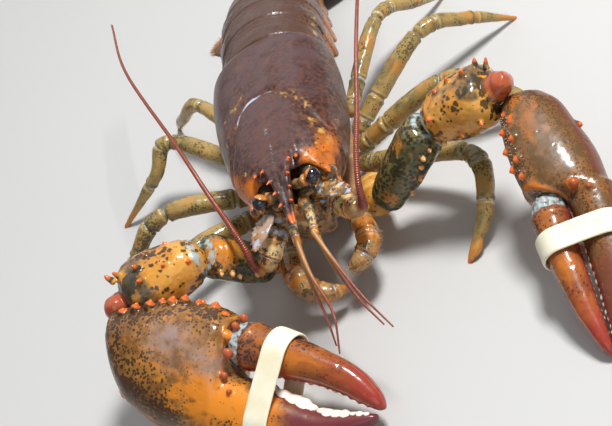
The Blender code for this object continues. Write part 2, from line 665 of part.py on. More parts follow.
def stand_and_centre():
    """Levels what reaches the floor, then puts the middle of the box over the origin."""
    for thing in list(bpy.data.objects):
        if lowest(thing) < -0.00002:
            level_foot(thing.name)
    corners = [v.co for thing in bpy.data.objects for v in thing.data.vertices]
    middle = Vector((
        (min(c.x for c in corners) + max(c.x for c in corners)) / 2,
        (min(c.y for c in corners) + max(c.y for c in corners)) / 2,
        min(c.z for c in corners),
    ))
    for thing in bpy.data.objects:
        thing.data.transform(Matrix.Translation(-middle))


def main():
    clear_scene()
    carapace()
    thorax_floor()
    face()
    tail_segments()
    tail_fan()
    for side in (LEFT, RIGHT):
        eye(side)
        antenna(side)
        antennule(side)
        mouth_leg(side)
        claw(side)
        arm(side)
        for index in range(4):
            walking_leg(side, index)
    stand_and_centre()


main()
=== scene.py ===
"""American lobster, life size: the finished look of the still model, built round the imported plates.

Shapes are worked out in millimetres, with the animal facing -Y, its left side +X and the floor
at z = 0. y = 0 is the rear edge of the carapace. `placed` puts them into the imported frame.
Run as a script it makes every piece; as an add-on it lists them in the 3D view's sidebar.
"""

import math

import bpy
import numpy as np
from mathutils import Matrix, Vector


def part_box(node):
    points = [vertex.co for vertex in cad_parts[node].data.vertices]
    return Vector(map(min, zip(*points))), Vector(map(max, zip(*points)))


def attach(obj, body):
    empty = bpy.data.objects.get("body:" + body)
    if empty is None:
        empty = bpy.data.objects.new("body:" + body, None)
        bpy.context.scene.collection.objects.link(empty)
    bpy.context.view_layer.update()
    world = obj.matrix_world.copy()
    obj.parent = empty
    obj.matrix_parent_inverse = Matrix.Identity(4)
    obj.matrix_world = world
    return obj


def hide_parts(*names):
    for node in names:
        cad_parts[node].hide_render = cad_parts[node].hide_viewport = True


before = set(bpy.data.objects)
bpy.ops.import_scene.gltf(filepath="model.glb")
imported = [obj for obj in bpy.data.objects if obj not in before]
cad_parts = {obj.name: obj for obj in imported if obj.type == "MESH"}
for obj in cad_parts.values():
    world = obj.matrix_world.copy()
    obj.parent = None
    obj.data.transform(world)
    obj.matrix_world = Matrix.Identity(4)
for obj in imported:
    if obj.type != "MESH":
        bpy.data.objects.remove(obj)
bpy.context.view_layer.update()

bl_info = {
    "name": "American lobster",
    "version": (1, 0, 0),
    "blender": (4, 5, 0),
    "location": "3D View > Sidebar > Lobster",
    "description": "Builds a life-size lobster with banded claws, piece by piece",
    "category": "Add Mesh",
}

MM = 0.001
SIDES = LEFT, RIGHT = 1, -1
WORDS = {LEFT: "left", RIGHT: "right"}
CLAW_WORDS = {LEFT: "cutter", RIGHT: "crusher"}
UP = (0, 0, 1)
REST = 0.02                # least height of a skin over the floor
BODY = "root"


def frame_shift():
    """Where the drawing's origin lies in the frame: mid-breast in x, the shield's rear edge in y."""
    breast_low, breast_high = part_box("sternum")
    _, shield_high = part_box("carapace")
    return np.array(((breast_low.x + breast_high.x) / 2, shield_high.y, 0)) / MM


SHIFT = frame_shift()


def placed(points):
    """Drawn points, in millimetres, as points of the frame, in metres."""
    return (np.asarray(points, float) + SHIFT) * MM


# --- sizes and colours a user would change ---

def length_setting(name, description, value, least):
    return bpy.props.FloatProperty(name=name, description=description, default=value, min=least,
                                   unit="LENGTH")


def colour_setting(name, description, value):
    return bpy.props.FloatVectorProperty(name=name, description=description, size=3, min=0,
                                         max=1, default=value, subtype="COLOR")


class LobsterSizes(bpy.types.PropertyGroup):
    """Sizes of the fine detail."""
    grain: length_setting("Shell grain", "Edge of the small cubes that the shell is grown from",
                          0.5 * MM, 0.2 * MM)
    feeler_ring: length_setting("Feeler ring", "Length of one ring of a feeler",
                                0.85 * MM, 0.3 * MM)
    bristle: length_setting("Bristle length", "Length of a bristle of the tail fan's fringe",
                            2.6 * MM, 0.3 * MM)
    bead: length_setting("Bead", "Size of the pearly beads under the palm's spines",
                         0.55 * MM, 0.2 * MM)
    floor: length_setting("Floor", "Side of the square floor", 8, 1)


class LobsterColours(bpy.types.PropertyGroup):
    """The main colours of the shell and what it wears."""
    back: colour_setting("Back", "Brown of the carapace's top", (0.098, 0.052, 0.051))
    cheek: colour_setting("Cheek", "Orange of the cheeks and claw patches", (0.64, 0.17, 0.013))
    palm: colour_setting("Palm", "Ochre brown of the claws", (0.205, 0.084, 0.02))
    spine: colour_setting("Spine", "Orange red of spines and knobs", (0.72, 0.15, 0.028))
    finger: colour_setting("Finger", "Brick red of the fingers' ends", (0.33, 0.052, 0.034))
    joint: colour_setting("Joint", "Bluish white of the joint skin", (0.4, 0.5, 0.5))
    leg: colour_setting("Leg", "Olive yellow of the walking legs", (0.42, 0.27, 0.085))
    band: colour_setting("Band", "Ivory of the rubber bands", (0.9, 0.85, 0.67))
    floor: colour_setting("Floor", "Pale floor", (0.56, 0.557, 0.545))


def sizes():
    return bpy.context.scene.lobster_sizes


def colours():
    return bpy.context.scene.lobster_colours


# --- tables and paths ---

def between(t, width, low, low_slope, high, high_slope):
    """The smooth curve between two values that have these slopes."""
    return ((2 * t**3 - 3 * t**2 + 1) * low + (t**3 - 2 * t**2 + t) * width * low_slope
            + (3 * t**2 - 2 * t**3) * high + (t**3 - t**2) * width * high_slope)


def eased(rows, where):
    """The values of a table of (place, value, ...) at each place, smooth and without overshoot."""
    rows = np.asarray(rows, float)
    x, y = rows[:, 0], rows[:, 1:]
    slope = np.diff(y, axis=0) / np.diff(x)[:, None]
    before, after = slope[:-1], slope[1:]
    total = np.where(np.abs(before + after) < 1e-12, 1, before + after)
    tangent = np.vstack((slope[:1], np.where(before * after > 0, 2 * before * after / total, 0),
                         slope[-1:]))
    where = np.clip(np.atleast_1d(np.asarray(where, float)), x[0], x[-1])
    low = np.clip(np.searchsorted(x, where, side="right") - 1, 0, len(x) - 2)
    width = (x[low + 1] - x[low])[:, None]
    t = ((where - x[low]) / width[:, 0])[:, None]
    return between(t, width, y[low], tangent[low], y[low + 1], tangent[low + 1])


def smoothstep(low, high, value):
    t = np.clip((value - low) / (high - low), 0, 1)
    return t * t * (3 - 2 * t)


def fade(low, high, value):
    """1 up to low, and 0 from high on."""
    return 1 - smoothstep(low, high, value)


def bump(value, centre, width):
    """1 at the centre, falling off on both sides."""
    return np.exp(-((value - centre) / width) ** 2)


def unit(vectors):
    vectors = np.asarray(vectors, float)
    return vectors / np.maximum(np.linalg.norm(vectors, axis=-1, keepdims=True), 1e-12)


def route(points, places):
    """Points and directions at the places (0 to len - 1) of the smooth curve through the points."""
    points = np.asarray(points, float)
    places = np.atleast_1d(np.asarray(places, float))
    ends = np.vstack((2 * points[0] - points[1], points, 2 * points[-1] - points[-2]))
    low = np.clip(places.astype(int), 0, len(points) - 2)
    t = (places - low)[:, None]
    a, b = ends[low + 1], ends[low + 2]
    slope_a, slope_b = (b - ends[low]) / 2, (ends[low + 3] - a) / 2
    direction = ((6 * t**2 - 6 * t) * a + (3 * t**2 - 4 * t + 1) * slope_a
                 + (6 * t - 6 * t**2) * b + (3 * t**2 - 2 * t) * slope_b)
    return between(t, 1, a, slope_a, b, slope_b), unit(direction)


def rail(path, places, up=UP):
    """Points of a path, with the directions ahead and to the side there."""
    line, ahead = route(path, places)
    return line, ahead, unit(np.cross(ahead, up))


TURN = np.array(Matrix.Rotation(0.9, 3, Vector((1, 2, 3))))
HASH = (73856093, 19349663, 83492791)


def lumps(points, size, seed=0):
    """Smooth random values from -1 to 1, with lumps of about that size in millimetres."""
    spot = points @ TURN / size + seed * 17.17
    low = np.floor(spot).astype(np.int64)
    part = spot - low
    part = part * part * (3 - 2 * part)
    total = np.zeros(len(points))
    for corner in range(8):
        step = np.array((corner & 1, corner >> 1 & 1, corner >> 2 & 1))
        key = np.bitwise_xor.reduce((low + step) * HASH, axis=1)
        key = (key ^ (key >> 13)) * 1274126177 & 0xFFFFFFFF
        value = ((key ^ (key >> 16)) & 0xFFFF) / 32767.5 - 1
        total += value * np.prod(np.where(step, part, 1 - part), axis=1)
    return total


def flecks(points, size, seed, low, high):
    """Random patches of about that size: 0 where the lumps are under low, 1 where over high."""
    return smoothstep(low, high, lumps(points, size, seed))


# --- shells and skins ---

def rounded(share, length, start, end):
    """A factor that closes a tube to a dome at each end."""
    near = np.clip(share * length / max(start, 1e-6), 0, 1)
    far = np.clip((1 - share) * length / max(end, 1e-6), 0, 1)
    return np.sqrt(1 - (1 - near) ** 2 + 1e-4) * np.sqrt(1 - (1 - far) ** 2 + 1e-4)


def even_ends(rows):
    """Shares from 0 to 1 that lie closer together at both ends."""
    u = np.linspace(0, 1, rows)
    return 0.35 * u + 0.65 * (1 - np.cos(np.pi * u)) / 2


def ovals(centres, side, over, half_side, half_over, around, power=2.2):
    """Rings round the centres; a power of more than 2 makes them boxier."""
    angle = 2 * np.pi * (np.arange(around) + 0.5) / around
    flat, tall = (np.sign(way) * np.abs(way) ** (2 / power) for way in (np.cos(angle), np.sin(angle)))
    side, over = (np.broadcast_to(way, centres.shape)[:, None] for way in (side, over))
    return (centres[:, None] + side * (flat[None, :, None] * half_side[:, None, None])
            + over * (tall[None, :, None] * half_over[:, None, None]))


def tube(path, first, last, table, around=36, rows=36, power=2.2, up=UP, inset=0, start=None,
         end=None):
    """A closed limb on a stretch of a path, as rings of points. Its ends are domes."""
    path = np.asarray(path, float)
    length = np.linalg.norm(path[math.ceil(last)] - path[int(first)])
    trim = inset / length * (last - first)
    share = even_ends(rows)
    centre, ahead, side = rail(path, first + trim + share * (last - first - 2 * trim), up)
    half = eased(table, share)
    start = half[0].mean() * 0.7 if start is None else start
    end = half[-1].mean() * 0.7 if end is None else end
    close = rounded(share, length, start, end)
    return ovals(centre, side, np.cross(side, ahead), half[:, 0] * close, half[:, 1] * close,
                 around, power)


def ball(centre, radius, stretch=(1, 1, 1), axis=UP, around=16, rows=10):
    """A closed ellipsoid: `stretch` is its length along the axis, and its two widths."""
    ahead = unit(axis)
    side = unit(np.cross(ahead, (0.3, 0.5, 0.81)))
    angle = np.linspace(0.02, np.pi - 0.02, rows)
    centres = np.asarray(centre, float) - ahead * (np.cos(angle) * radius * stretch[0])[:, None]
    return ovals(centres, side, np.cross(side, ahead), np.sin(angle) * radius * stretch[1],
                 np.sin(angle) * radius * stretch[2], around, 2)


def thorn(root, tip, radius, curl=0, around=12, rows=12):
    """A spine with a broad foot and a blunt point."""
    root, tip = np.asarray(root, float), np.asarray(tip, float)
    table = [(share, radius * size, radius * size)
             for share, size in ((0, 1.15), (0.3, 0.92), (0.65, 0.62), (1, 0.3))]
    return tube([root, (root + tip) / 2 + (0, 0, curl), tip], 0, 2, table, around, rows, power=2,
                up=(0.31, 0.17, 0.93), start=0.2, end=radius * 0.3)


def thorns(spines, **form):
    return [thorn(*spine, **form) for spine in spines]


def shell_faces(rows, around, offset):
    """Index lists of a ring grid: the quads between rings, and a fan at each end."""
    ring = np.arange(rows - 1)[:, None] * around
    step = np.arange(around)[None, :]
    after = (step + 1) % around
    quads = np.stack((ring + step, ring + after, ring + around + after, ring + around + step), -1)
    low_middle, high_middle = rows * around, rows * around + 1
    last = (rows - 1) * around
    near = np.stack((step[0], np.full(around, low_middle), after[0]), -1)
    far = np.stack((last + step[0], last + after[0], np.full(around, high_middle)), -1)
    return quads.reshape(-1, 4) + offset, np.vstack((near, far)) + offset


def inside_out(grid):
    a, b = grid[:-1], grid[1:]
    return np.einsum("ijk,ijk->", np.cross(a, np.roll(a, -1, 1)), b) < 0


def linked(name, data):
    """A new object of that data, in the scene."""
    made = bpy.data.objects.new(name, data)
    bpy.context.scene.collection.objects.link(made)
    return made


def mesh_object(name, points, edges, faces):
    data = bpy.data.meshes.new(name)
    data.from_pydata(np.asarray(points).tolist(), edges, faces)
    return linked(name, data)


def mesh_of(name, shells):
    """One mesh object of closed ring grids, in millimetres, all facing outwards."""
    points, quads, threes, offset = [], [], [], 0
    for grid in shells:
        grid = np.asarray(grid, float)
        if inside_out(grid):
            grid = grid[:, ::-1]
        rows, around = grid.shape[:2]
        points.append(np.vstack((grid.reshape(-1, 3), grid[0].mean(0), grid[-1].mean(0))))
        four, three = shell_faces(rows, around, offset)
        quads.append(four)
        threes.append(three)
        offset += rows * around + 2
    return mesh_object(name, np.vstack(points), [],
                       np.vstack(quads).tolist() + np.vstack(threes).tolist())


def plain(thing):
    """The object's mesh with its modifiers worked in, as a mesh of its own."""
    bpy.context.view_layer.update()
    graph = bpy.context.evaluated_depsgraph_get()
    data = bpy.data.meshes.new_from_object(thing.evaluated_get(graph))
    name = thing.name
    bpy.data.objects.remove(thing)
    return linked(name, data)


def vectors_of(items, field):
    values = np.empty(len(items) * 3, np.float32)
    items.foreach_get(field, values)
    return values.reshape(-1, 3).astype(float)


def lifted(points, least=REST):
    """The points of a list or a grid, with what lies too low lifted."""
    points[..., 2] = np.maximum(points[..., 2], least)
    return points


class Skin:
    """A surface in millimetres while it is shaped and painted, before it goes into the frame."""

    def __init__(self, thing):
        self.thing = thing
        self.masks = {}
        self.read()

    def read(self):
        self.points = vectors_of(self.thing.data.vertices, "co")
        self.normals = vectors_of(self.thing.data.vertex_normals, "vector")

    def write(self):
        self.thing.data.vertices.foreach_set("co", self.points.astype(np.float32).ravel())
        self.thing.data.update()

    def push(self, amount):
        """Moves each point out along its normal by that many millimetres."""
        self.points = self.points + self.normals * amount[:, None]
        self.write()
        self.read()

    def rest(self):
        """Lifts what lies under the floor onto it."""
        lifted(self.points)
        self.write()

    def paint(self, **masks):
        """Raises each mask to the amount, or the amounts, given for it."""
        for mask, amounts in masks.items():
            for amount in amounts if isinstance(amounts, list) else [amounts]:
                self.masks[mask] = np.maximum(self.masks.get(mask, 0), np.clip(amount, 0, 1))

    def wipe(self, **masks):
        """Takes each mask back where the amount given for it is 1."""
        for mask, amount in masks.items():
            self.masks[mask] = self.masks.get(mask, 0) * (1 - np.clip(amount, 0, 1))


MASKS = ("warm", "dark", "pale", "veil", "web", "rosy", "red", "blue")


def grown(name, shells, grain=None, ease=3):
    """Overlapping closed shells grown together into one skin."""
    thing = mesh_of(name, shells)
    grow = thing.modifiers.new("grow", "REMESH")
    grow.mode = "VOXEL"
    grow.voxel_size = grain or sizes().grain / MM
    soften = thing.modifiers.new("soften", "SMOOTH")
    soften.factor = 0.5
    soften.iterations = ease
    return Skin(plain(thing))


def limb(name, path, first, last, table, around, rows, grain, more=(), ease=3, samples=90, **form):
    """A limb grown on a stretch of a path: its skin, its points, and how far along each is."""
    skin = grown(name, [tube(path, first, last, table, around, rows, **form), *more], grain, ease)
    share = (place_on(skin.points, path, first, last, samples) - first) / (last - first)
    return skin, skin.points, share


def finish(skin, name, look, slot, *nodes):
    """Puts a skin into the frame as a finished piece that stands for its packed plates."""
    skin.points = placed(skin.points)
    skin.write()
    data = skin.thing.data
    for mask in MASKS:
        if mask in skin.masks:
            values = np.broadcast_to(skin.masks[mask], len(skin.points)).astype(np.float32)
            data.attributes.new(mask, "FLOAT", "POINT").data.foreach_set("value", values)
    data.shade_smooth()
    data.materials.clear()
    data.materials.append(material(look))
    hand_over(skin.thing, name, slot, *nodes)


def cover(skin, name, part, look, slot):
    """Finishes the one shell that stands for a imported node."""
    finish(skin, f"{name}_{part}", look, slot, name)


def hand_over(thing, name, slot, *nodes):
    thing.name = name
    thing.data.name = name
    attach(thing, BODY)
    if nodes:
        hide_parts(*nodes)


def near_thorns(points, spines):
    """How far up its nearest spine each point is: 0 off the spines, 1 at a tip."""
    best = np.zeros(len(points))
    for root, tip, radius in spines:
        root, tip = np.asarray(root, float), np.asarray(tip, float)
        axis = tip - root
        length = np.linalg.norm(axis)
        axis = axis / length
        along = (points - root) @ axis
        off = np.linalg.norm(points - root - np.outer(along, axis), axis=1)
        share = smoothstep(length * 0.4, length * 0.78, along)
        near = (off < radius * (1.5 - 0.7 * along / length)) * (along < length + radius)
        best = np.maximum(best, share * near)
    return best


def near_balls(points, balls, grip=1.15):
    best = np.zeros(len(points))
    for centre, radius in balls:
        away = np.linalg.norm(points - np.asarray(centre, float), axis=1) / radius
        best = np.maximum(best, fade(grip - 0.12, grip + 0.12, away))
    return best


def place_on(points, path, first, last, samples=90):
    """The place on a path that each point is nearest to."""
    places = np.linspace(first, last, samples)
    line, _ = route(path, places)
    away = ((points[:, None] - line[None]) ** 2).sum(2)
    return places[away.argmin(1)]


# --- nodes: one wire class and one board for shaders and geometry ---

def sum_of(operation, swapped=False):
    """An operator between a wire and a wire or number, which adds its Math node."""
    def method(wire, other):
        first, second = (other, wire) if swapped else (wire, other)
        return wire.board.add("ShaderNodeMath", {"operation": operation}, {0: first, 1: second})
    return method


class Wire:
    """A node's output. Sums of wires and numbers add the Math nodes they stand for."""

    def __init__(self, board, socket):
        self.board, self.socket = board, socket

    __add__ = sum_of("ADD")
    __radd__ = sum_of("ADD", True)
    __sub__ = sum_of("SUBTRACT")
    __rsub__ = sum_of("SUBTRACT", True)
    __mul__ = sum_of("MULTIPLY")
    __rmul__ = sum_of("MULTIPLY", True)
    __truediv__ = sum_of("DIVIDE")

    def ease(self, low, high):
        """0 below low, 1 above high, and smooth between them."""
        return self.board.add("ShaderNodeMapRange", {"interpolation_type": "SMOOTHSTEP"},
                              {"Value": self, "From Min": low, "From Max": high})


class Board:
    """Adds nodes to a tree: the kind, its settings first, then the values or links it takes."""

    def __init__(self, tree):
        self.tree = tree

    def add(self, kind, settings=None, takes=None, output=0):
        node = self.tree.nodes.new(kind)
        for key, value in (settings or {}).items():
            setattr(node, key, value)
        self.wire_up(node, takes or {})
        return Wire(self, node.outputs[output]) if len(node.outputs) else node

    def wire_up(self, node, takes):
        for key, value in takes.items():
            if isinstance(value, Wire):
                self.tree.links.new(value.socket, node.inputs[key])
            else:
                node.inputs[key].default_value = value

    def shade(self, **takes):
        """Gives the tree's surface shader what it takes."""
        self.wire_up(self.tree.nodes["Principled BSDF"],
                     {key.replace("_", " "): value for key, value in takes.items()})

    def place(self):
        return self.add("ShaderNodeTexCoord", None, None, "Object")

    def noise(self, where, scale, detail=3, roughness=0.55, distortion=0):
        return self.add("ShaderNodeTexNoise", None,
                        {"Vector": where, "Scale": scale, "Detail": detail,
                         "Roughness": roughness, "Distortion": distortion})

    def cells(self, where, scale, feature="F1"):
        return self.add("ShaderNodeTexVoronoi", {"feature": feature},
                        {"Vector": where, "Scale": scale}, "Distance")

    def vector(self, operation, first, takes):
        return self.add("ShaderNodeVectorMath", {"operation": operation}, {0: first, **takes})

    def shaken(self, where, scale, amount):
        """A place with a small random offset, to make a pattern's lines wander."""
        wander = self.add("ShaderNodeTexNoise", None, {"Vector": where, "Scale": scale}, "Color")
        middle = self.vector("SUBTRACT", wander, {1: (0.5, 0.5, 0.5)})
        return self.vector("ADD", where, {1: self.vector("SCALE", middle, {"Scale": amount})})

    def bump(self, strength, distance, height):
        return self.add("ShaderNodeBump", None,
                        {"Strength": strength, "Distance": distance * MM, "Height": height})

    def mask(self, name):
        return self.add("ShaderNodeAttribute", {"attribute_name": name}, None, "Fac")

    def blend(self, first, second, share):
        """One colour over another."""
        return self.add("ShaderNodeMix", {"data_type": "RGBA"},
                        {0: share, 6: tint(first), 7: tint(second)}, 2)


def tint(colour):
    """A wire as it is, or a colour with its fourth value; some are named in the settings."""
    if isinstance(colour, Wire):
        return colour
    if isinstance(colour, str):
        colour = getattr(colours(), colour)
    return (*tuple(colour)[:3], 1)


def material_board(name):
    made = bpy.data.materials.new(name)
    made.use_nodes = True
    FINISHES[name] = made
    return Board(made.node_tree)


FINISHES = {}


def material(look):
    """The material of that name, made the first time it is asked for."""
    if look not in FINISHES:
        if look in SHELLS:
            shell(look, **SHELLS[look])
        else:
            PLAIN_LOOKS[look]()
    return FINISHES[look]


def shell(name, ground, second, speckle=(0.03, 0.013, 0.01), density=0.35,
          veil=(0.105, 0.056, 0.05), warm="cheek", pale=(0.62, 0.44, 0.2), rosy="finger",
          red="spine", blue="joint", rough=0.3, coat=0.3, web=None, clumps=0.9, dots=600,
          gloss=0.1, blots=0):
    """Mottled wet shell. Dark speckles lie more densely where the `dark` mask is stronger, and the
    piece's other masks say where its patches, rims, spines and joint skin lie. The soft film mask
    also carries a painted highlight (a pale sheen) on the palms, and the bluish mask also carries
    painted highlights along the carapace's neck groove and middle."""
    board = material_board(name)
    here, mask = board.place(), board.mask
    broad = board.noise(here, 75, 2)
    mottle = board.noise(here, 260, 4, 0.62, 0.5)
    fine = board.noise(here, 760, 4, 0.68)
    colour = board.blend(ground, second, (broad * 0.5 + mottle * 0.5).ease(0.38, 0.62))
    warm_here = (mask("warm") * 1.15 + (mottle - 0.5) * 1.1 + (broad - 0.5) * 0.5)
    colour = board.blend(colour, warm, warm_here.ease(0.15, 0.95))
    if web:
        net = board.cells(board.shaken(here, 230, 0.005), 170, "DISTANCE_TO_EDGE")
        lines = 1 - (net + (fine - 0.5) * 0.12).ease(0, 0.22)
        patchy = (mottle * 0.5 + broad * 0.5).ease(0.38, 0.6)
        netted = lines * patchy * mask("web") * 0.9
    colour = board.blend(colour, pale, (mask("pale") + (mottle - 0.5) * 0.8).ease(0.4, 0.85))
    crowd = (mask("dark") * 0.62 - mask("warm") * 0.28 - mask("pale") * 0.4
             + (broad - 0.5) * clumps + density)
    rounds = 1 - board.cells(board.shaken(here, dots, 0.4 / dots), dots)
    spots = (rounds * 0.42 + fine * 0.3 + mottle * 0.3 + crowd * 0.4).ease(0.7, 0.765)
    if blots:
        spots = spots + (1 - spots) * blots * (mottle * 0.7 + fine * 0.3
                                               + crowd * 0.4).ease(0.73, 0.81)
    clear = (1 - mask("red") * 0.8) * (1 - mask("rosy") * 0.5)
    colour = board.blend(colour, speckle, spots * clear * 0.88)
    # the film: a soft film of colour, and on the palms a painted highlight (sheen)
    veil_here = mask("veil") * (0.78 + (mottle - 0.5) * 1.3)
    colour = board.blend(colour, veil, veil_here.ease(0.05, 0.9) * 0.92)
    if web:
        colour = board.blend(colour, web, netted)
    colour = board.blend(colour, rosy, (mask("rosy") + (mottle - 0.5) * 0.5).ease(0.05, 0.95))
    colour = board.blend(colour, red, mask("red").ease(0.1, 0.9))
    # bluish: joint skin, and on the carapace painted highlights
    colour = board.blend(colour, blue, (mask("blue") + (fine - 0.5) * 0.8).ease(0.35, 0.8))
    pores = board.cells(here, 1300).ease(0.05, 0.45)
    board.shade(Base_Color=colour, Roughness=fine * 0.16 + mottle * 0.16 + (rough - 0.16),
                Normal=board.bump(0.5, 0.05, pores * 0.6 + fine * 0.8), Coat_Weight=coat,
                Coat_Roughness=gloss, Specular_IOR_Level=0.24)


SHELLS = {
    # back_shell's blue is painted highlight only: the glints in the neck groove and along the middle of the
    # head
    "back_shell": dict(
        ground=(0.105, 0.034, 0.02), second=(0.17, 0.06, 0.022), speckle=(0.024, 0.01, 0.01),
        density=0.34, veil="back", pale=(0.56, 0.33, 0.07), blue=(0.48, 0.52, 0.6), rough=0.42,
        coat=0.34, web=(0.17, 0.056, 0.03), gloss=0.2, blots=0.5),
    "tail_shell": dict(
        ground=(0.11, 0.052, 0.03), second=(0.17, 0.072, 0.03), speckle=(0.04, 0.02, 0.014),
        density=0.4, veil=(0.092, 0.05, 0.041), warm=(0.4, 0.13, 0.024), pale=(0.48, 0.29, 0.1),
        rough=0.36, coat=0.36, dots=800, gloss=0.13),
    # palm_shell's pale mauve film colour is the painted highlight (sheen) over the crusher's palm
    "palm_shell": dict(
        ground="palm", second=(0.44, 0.2, 0.038), speckle=(0.026, 0.011, 0.008), density=0.2,
        veil=(0.35, 0.245, 0.215), warm=(0.76, 0.25, 0.022), pale=(0.86, 0.76, 0.68),
        rosy=(0.16, 0.032, 0.04), rough=0.36, coat=0.42, dots=740, gloss=0.11, blots=0.85),
    # cutter_shell's paler olive film colour is the painted highlight (sheen) over the cutter's palm
    "cutter_shell": dict(
        ground=(0.12, 0.066, 0.024), second=(0.27, 0.11, 0.028), speckle=(0.06, 0.028, 0.014),
        density=0.26, veil=(0.2, 0.13, 0.085), warm=(0.5, 0.15, 0.022), pale=(0.86, 0.76, 0.68),
        rosy=(0.17, 0.044, 0.026), rough=0.36, coat=0.4, dots=1100, gloss=0.13, blots=0.7),
    "thumb_shell": dict(
        ground=(0.42, 0.125, 0.022), second=(0.25, 0.066, 0.02), density=0.14,
        warm=(0.6, 0.185, 0.022), pale=(0.82, 0.62, 0.5), rosy=(0.34, 0.04, 0.028), rough=0.32,
        coat=0.55, dots=900, gloss=0.08),
    "wrist_shell": dict(
        ground=(0.66, 0.3, 0.046), second=(0.48, 0.185, 0.028), speckle=(0.018, 0.016, 0.011),
        density=0.28, veil=(0.05, 0.048, 0.034), warm=(0.8, 0.42, 0.09),
        rosy=(0.42, 0.085, 0.034), rough=0.28, coat=0.5, clumps=1.1, dots=430, gloss=0.08),
    "arm_shell": dict(
        ground=(0.09, 0.084, 0.036), second=(0.22, 0.16, 0.05), speckle=(0.016, 0.022, 0.014),
        density=0.52, warm=(0.6, 0.215, 0.02), pale=(0.6, 0.43, 0.18), rosy=(0.23, 0.27, 0.22),
        red=(0.86, 0.43, 0.15), rough=0.28, coat=0.4, clumps=1.3),
    "leg_shell": dict(
        ground="leg", second=(0.3, 0.215, 0.07), speckle=(0.095, 0.064, 0.026), density=0.24,
        veil=(0.085, 0.092, 0.052), warm=(0.52, 0.22, 0.04), pale=(0.64, 0.48, 0.21), rough=0.35,
        coat=0.42, clumps=0.8, dots=1000),
    "mouth_shell": dict(
        ground=(0.34, 0.17, 0.055), second=(0.46, 0.28, 0.11), speckle=(0.07, 0.036, 0.02),
        density=0.28, veil=(0.085, 0.08, 0.056), warm=(0.56, 0.2, 0.034), pale=(0.7, 0.53, 0.25),
        rosy=(0.4, 0.26, 0.21), blue=(0.45, 0.49, 0.57), rough=0.29, coat=0.6, clumps=1.1,
        dots=1000),
    "belly_shell": dict(
        ground=(0.43, 0.23, 0.11), second=(0.52, 0.31, 0.15), speckle=(0.16, 0.07, 0.03),
        density=0.12, pale=(0.68, 0.54, 0.35), rough=0.36, coat=0.2),
}


def clouded(name, scale, detail, first, second, high=0.65, low=0.35):
    """A new material whose ground is clouded: its board, place, clouds and colour."""
    board = material_board(name)
    here = board.place()
    cloud = board.noise(here, scale, detail)
    return board, here, cloud, board.blend(first, second, cloud.ease(low, high))


def feeler_skin():
    """Brick red, lighter on the rings' crests and at the foot."""
    board, _, cloud, colour = clouded("feeler_skin", 420, 3, (0.25, 0.036, 0.018),
                                      (0.13, 0.022, 0.016), 0.7)
    colour = board.blend(colour, (0.42, 0.11, 0.04), board.mask("crest") * 0.45)
    colour = board.blend(colour, (0.52, 0.27, 0.09), board.mask("foot").ease(0.2, 0.9) * 0.8)
    board.shade(Base_Color=colour, Roughness=cloud * 0.15 + 0.26, Coat_Weight=0.35,
                Coat_Roughness=0.12)


def eye_skin():
    """Glossy black with a fine mesh of facets, and an orange rim."""
    board, here, cloud, colour = clouded("eye_skin", 260, 2, (0.006, 0.006, 0.012),
                                         (0.024, 0.02, 0.036), 0.7)
    colour = board.blend(colour, (0.6, 0.2, 0.03), board.mask("warm").ease(0.4, 0.8))
    board.shade(Base_Color=colour, Roughness=cloud * 0.08 + 0.03, Coat_Weight=1,
                Normal=board.bump(0.15, 0.02, board.cells(here, 5200)), Coat_Roughness=0.03)


def bristle_hair():
    board, _, cloud, colour = clouded("bristle_hair", 700, 2, (0.3, 0.15, 0.06),
                                      (0.56, 0.36, 0.17))
    board.shade(Base_Color=colour, Roughness=cloud * 0.2 + 0.4)


def pearl_skin():
    board, _, cloud, colour = clouded("pearl_skin", 520, 2, (0.12, 0.1, 0.08),
                                      (0.33, 0.21, 0.12), 0.66, 0.4)
    board.shade(Base_Color=colour, Roughness=cloud * 0.15 + 0.2, Coat_Weight=0.7,
                Coat_Roughness=0.06)


def band_rubber():
    """Ivory rubber: a dull sheen, a fine grain, and a slightly deeper tone in random clouds."""
    deep = tuple(value * share for value, share in zip(colours().band, (0.93, 0.9, 0.8)))
    board, here, cloud, colour = clouded("band_rubber", 120, 3, "band", deep, 0.75)
    grain = board.noise(here, 2600, 3)
    board.shade(Base_Color=colour, Roughness=grain * 0.16 + 0.36,
                Normal=board.bump(0.35, 0.04, grain + cloud * 2), Subsurface_Weight=0.15,
                Subsurface_Radius=(0.004, 0.003, 0.0015))


def pale_floor():
    dim = tuple(value * 0.97 for value in colours().floor)
    board, _, cloud, colour = clouded("pale_floor", 2.2, 3, "floor", dim, 0.7)
    board.shade(Base_Color=colour, Roughness=cloud * 0.1 + 0.55)


PLAIN_LOOKS = {maker.__name__: maker for maker in (
    feeler_skin, eye_skin, bristle_hair, pearl_skin, band_rubber, pale_floor)}


# --- geometry trees ---

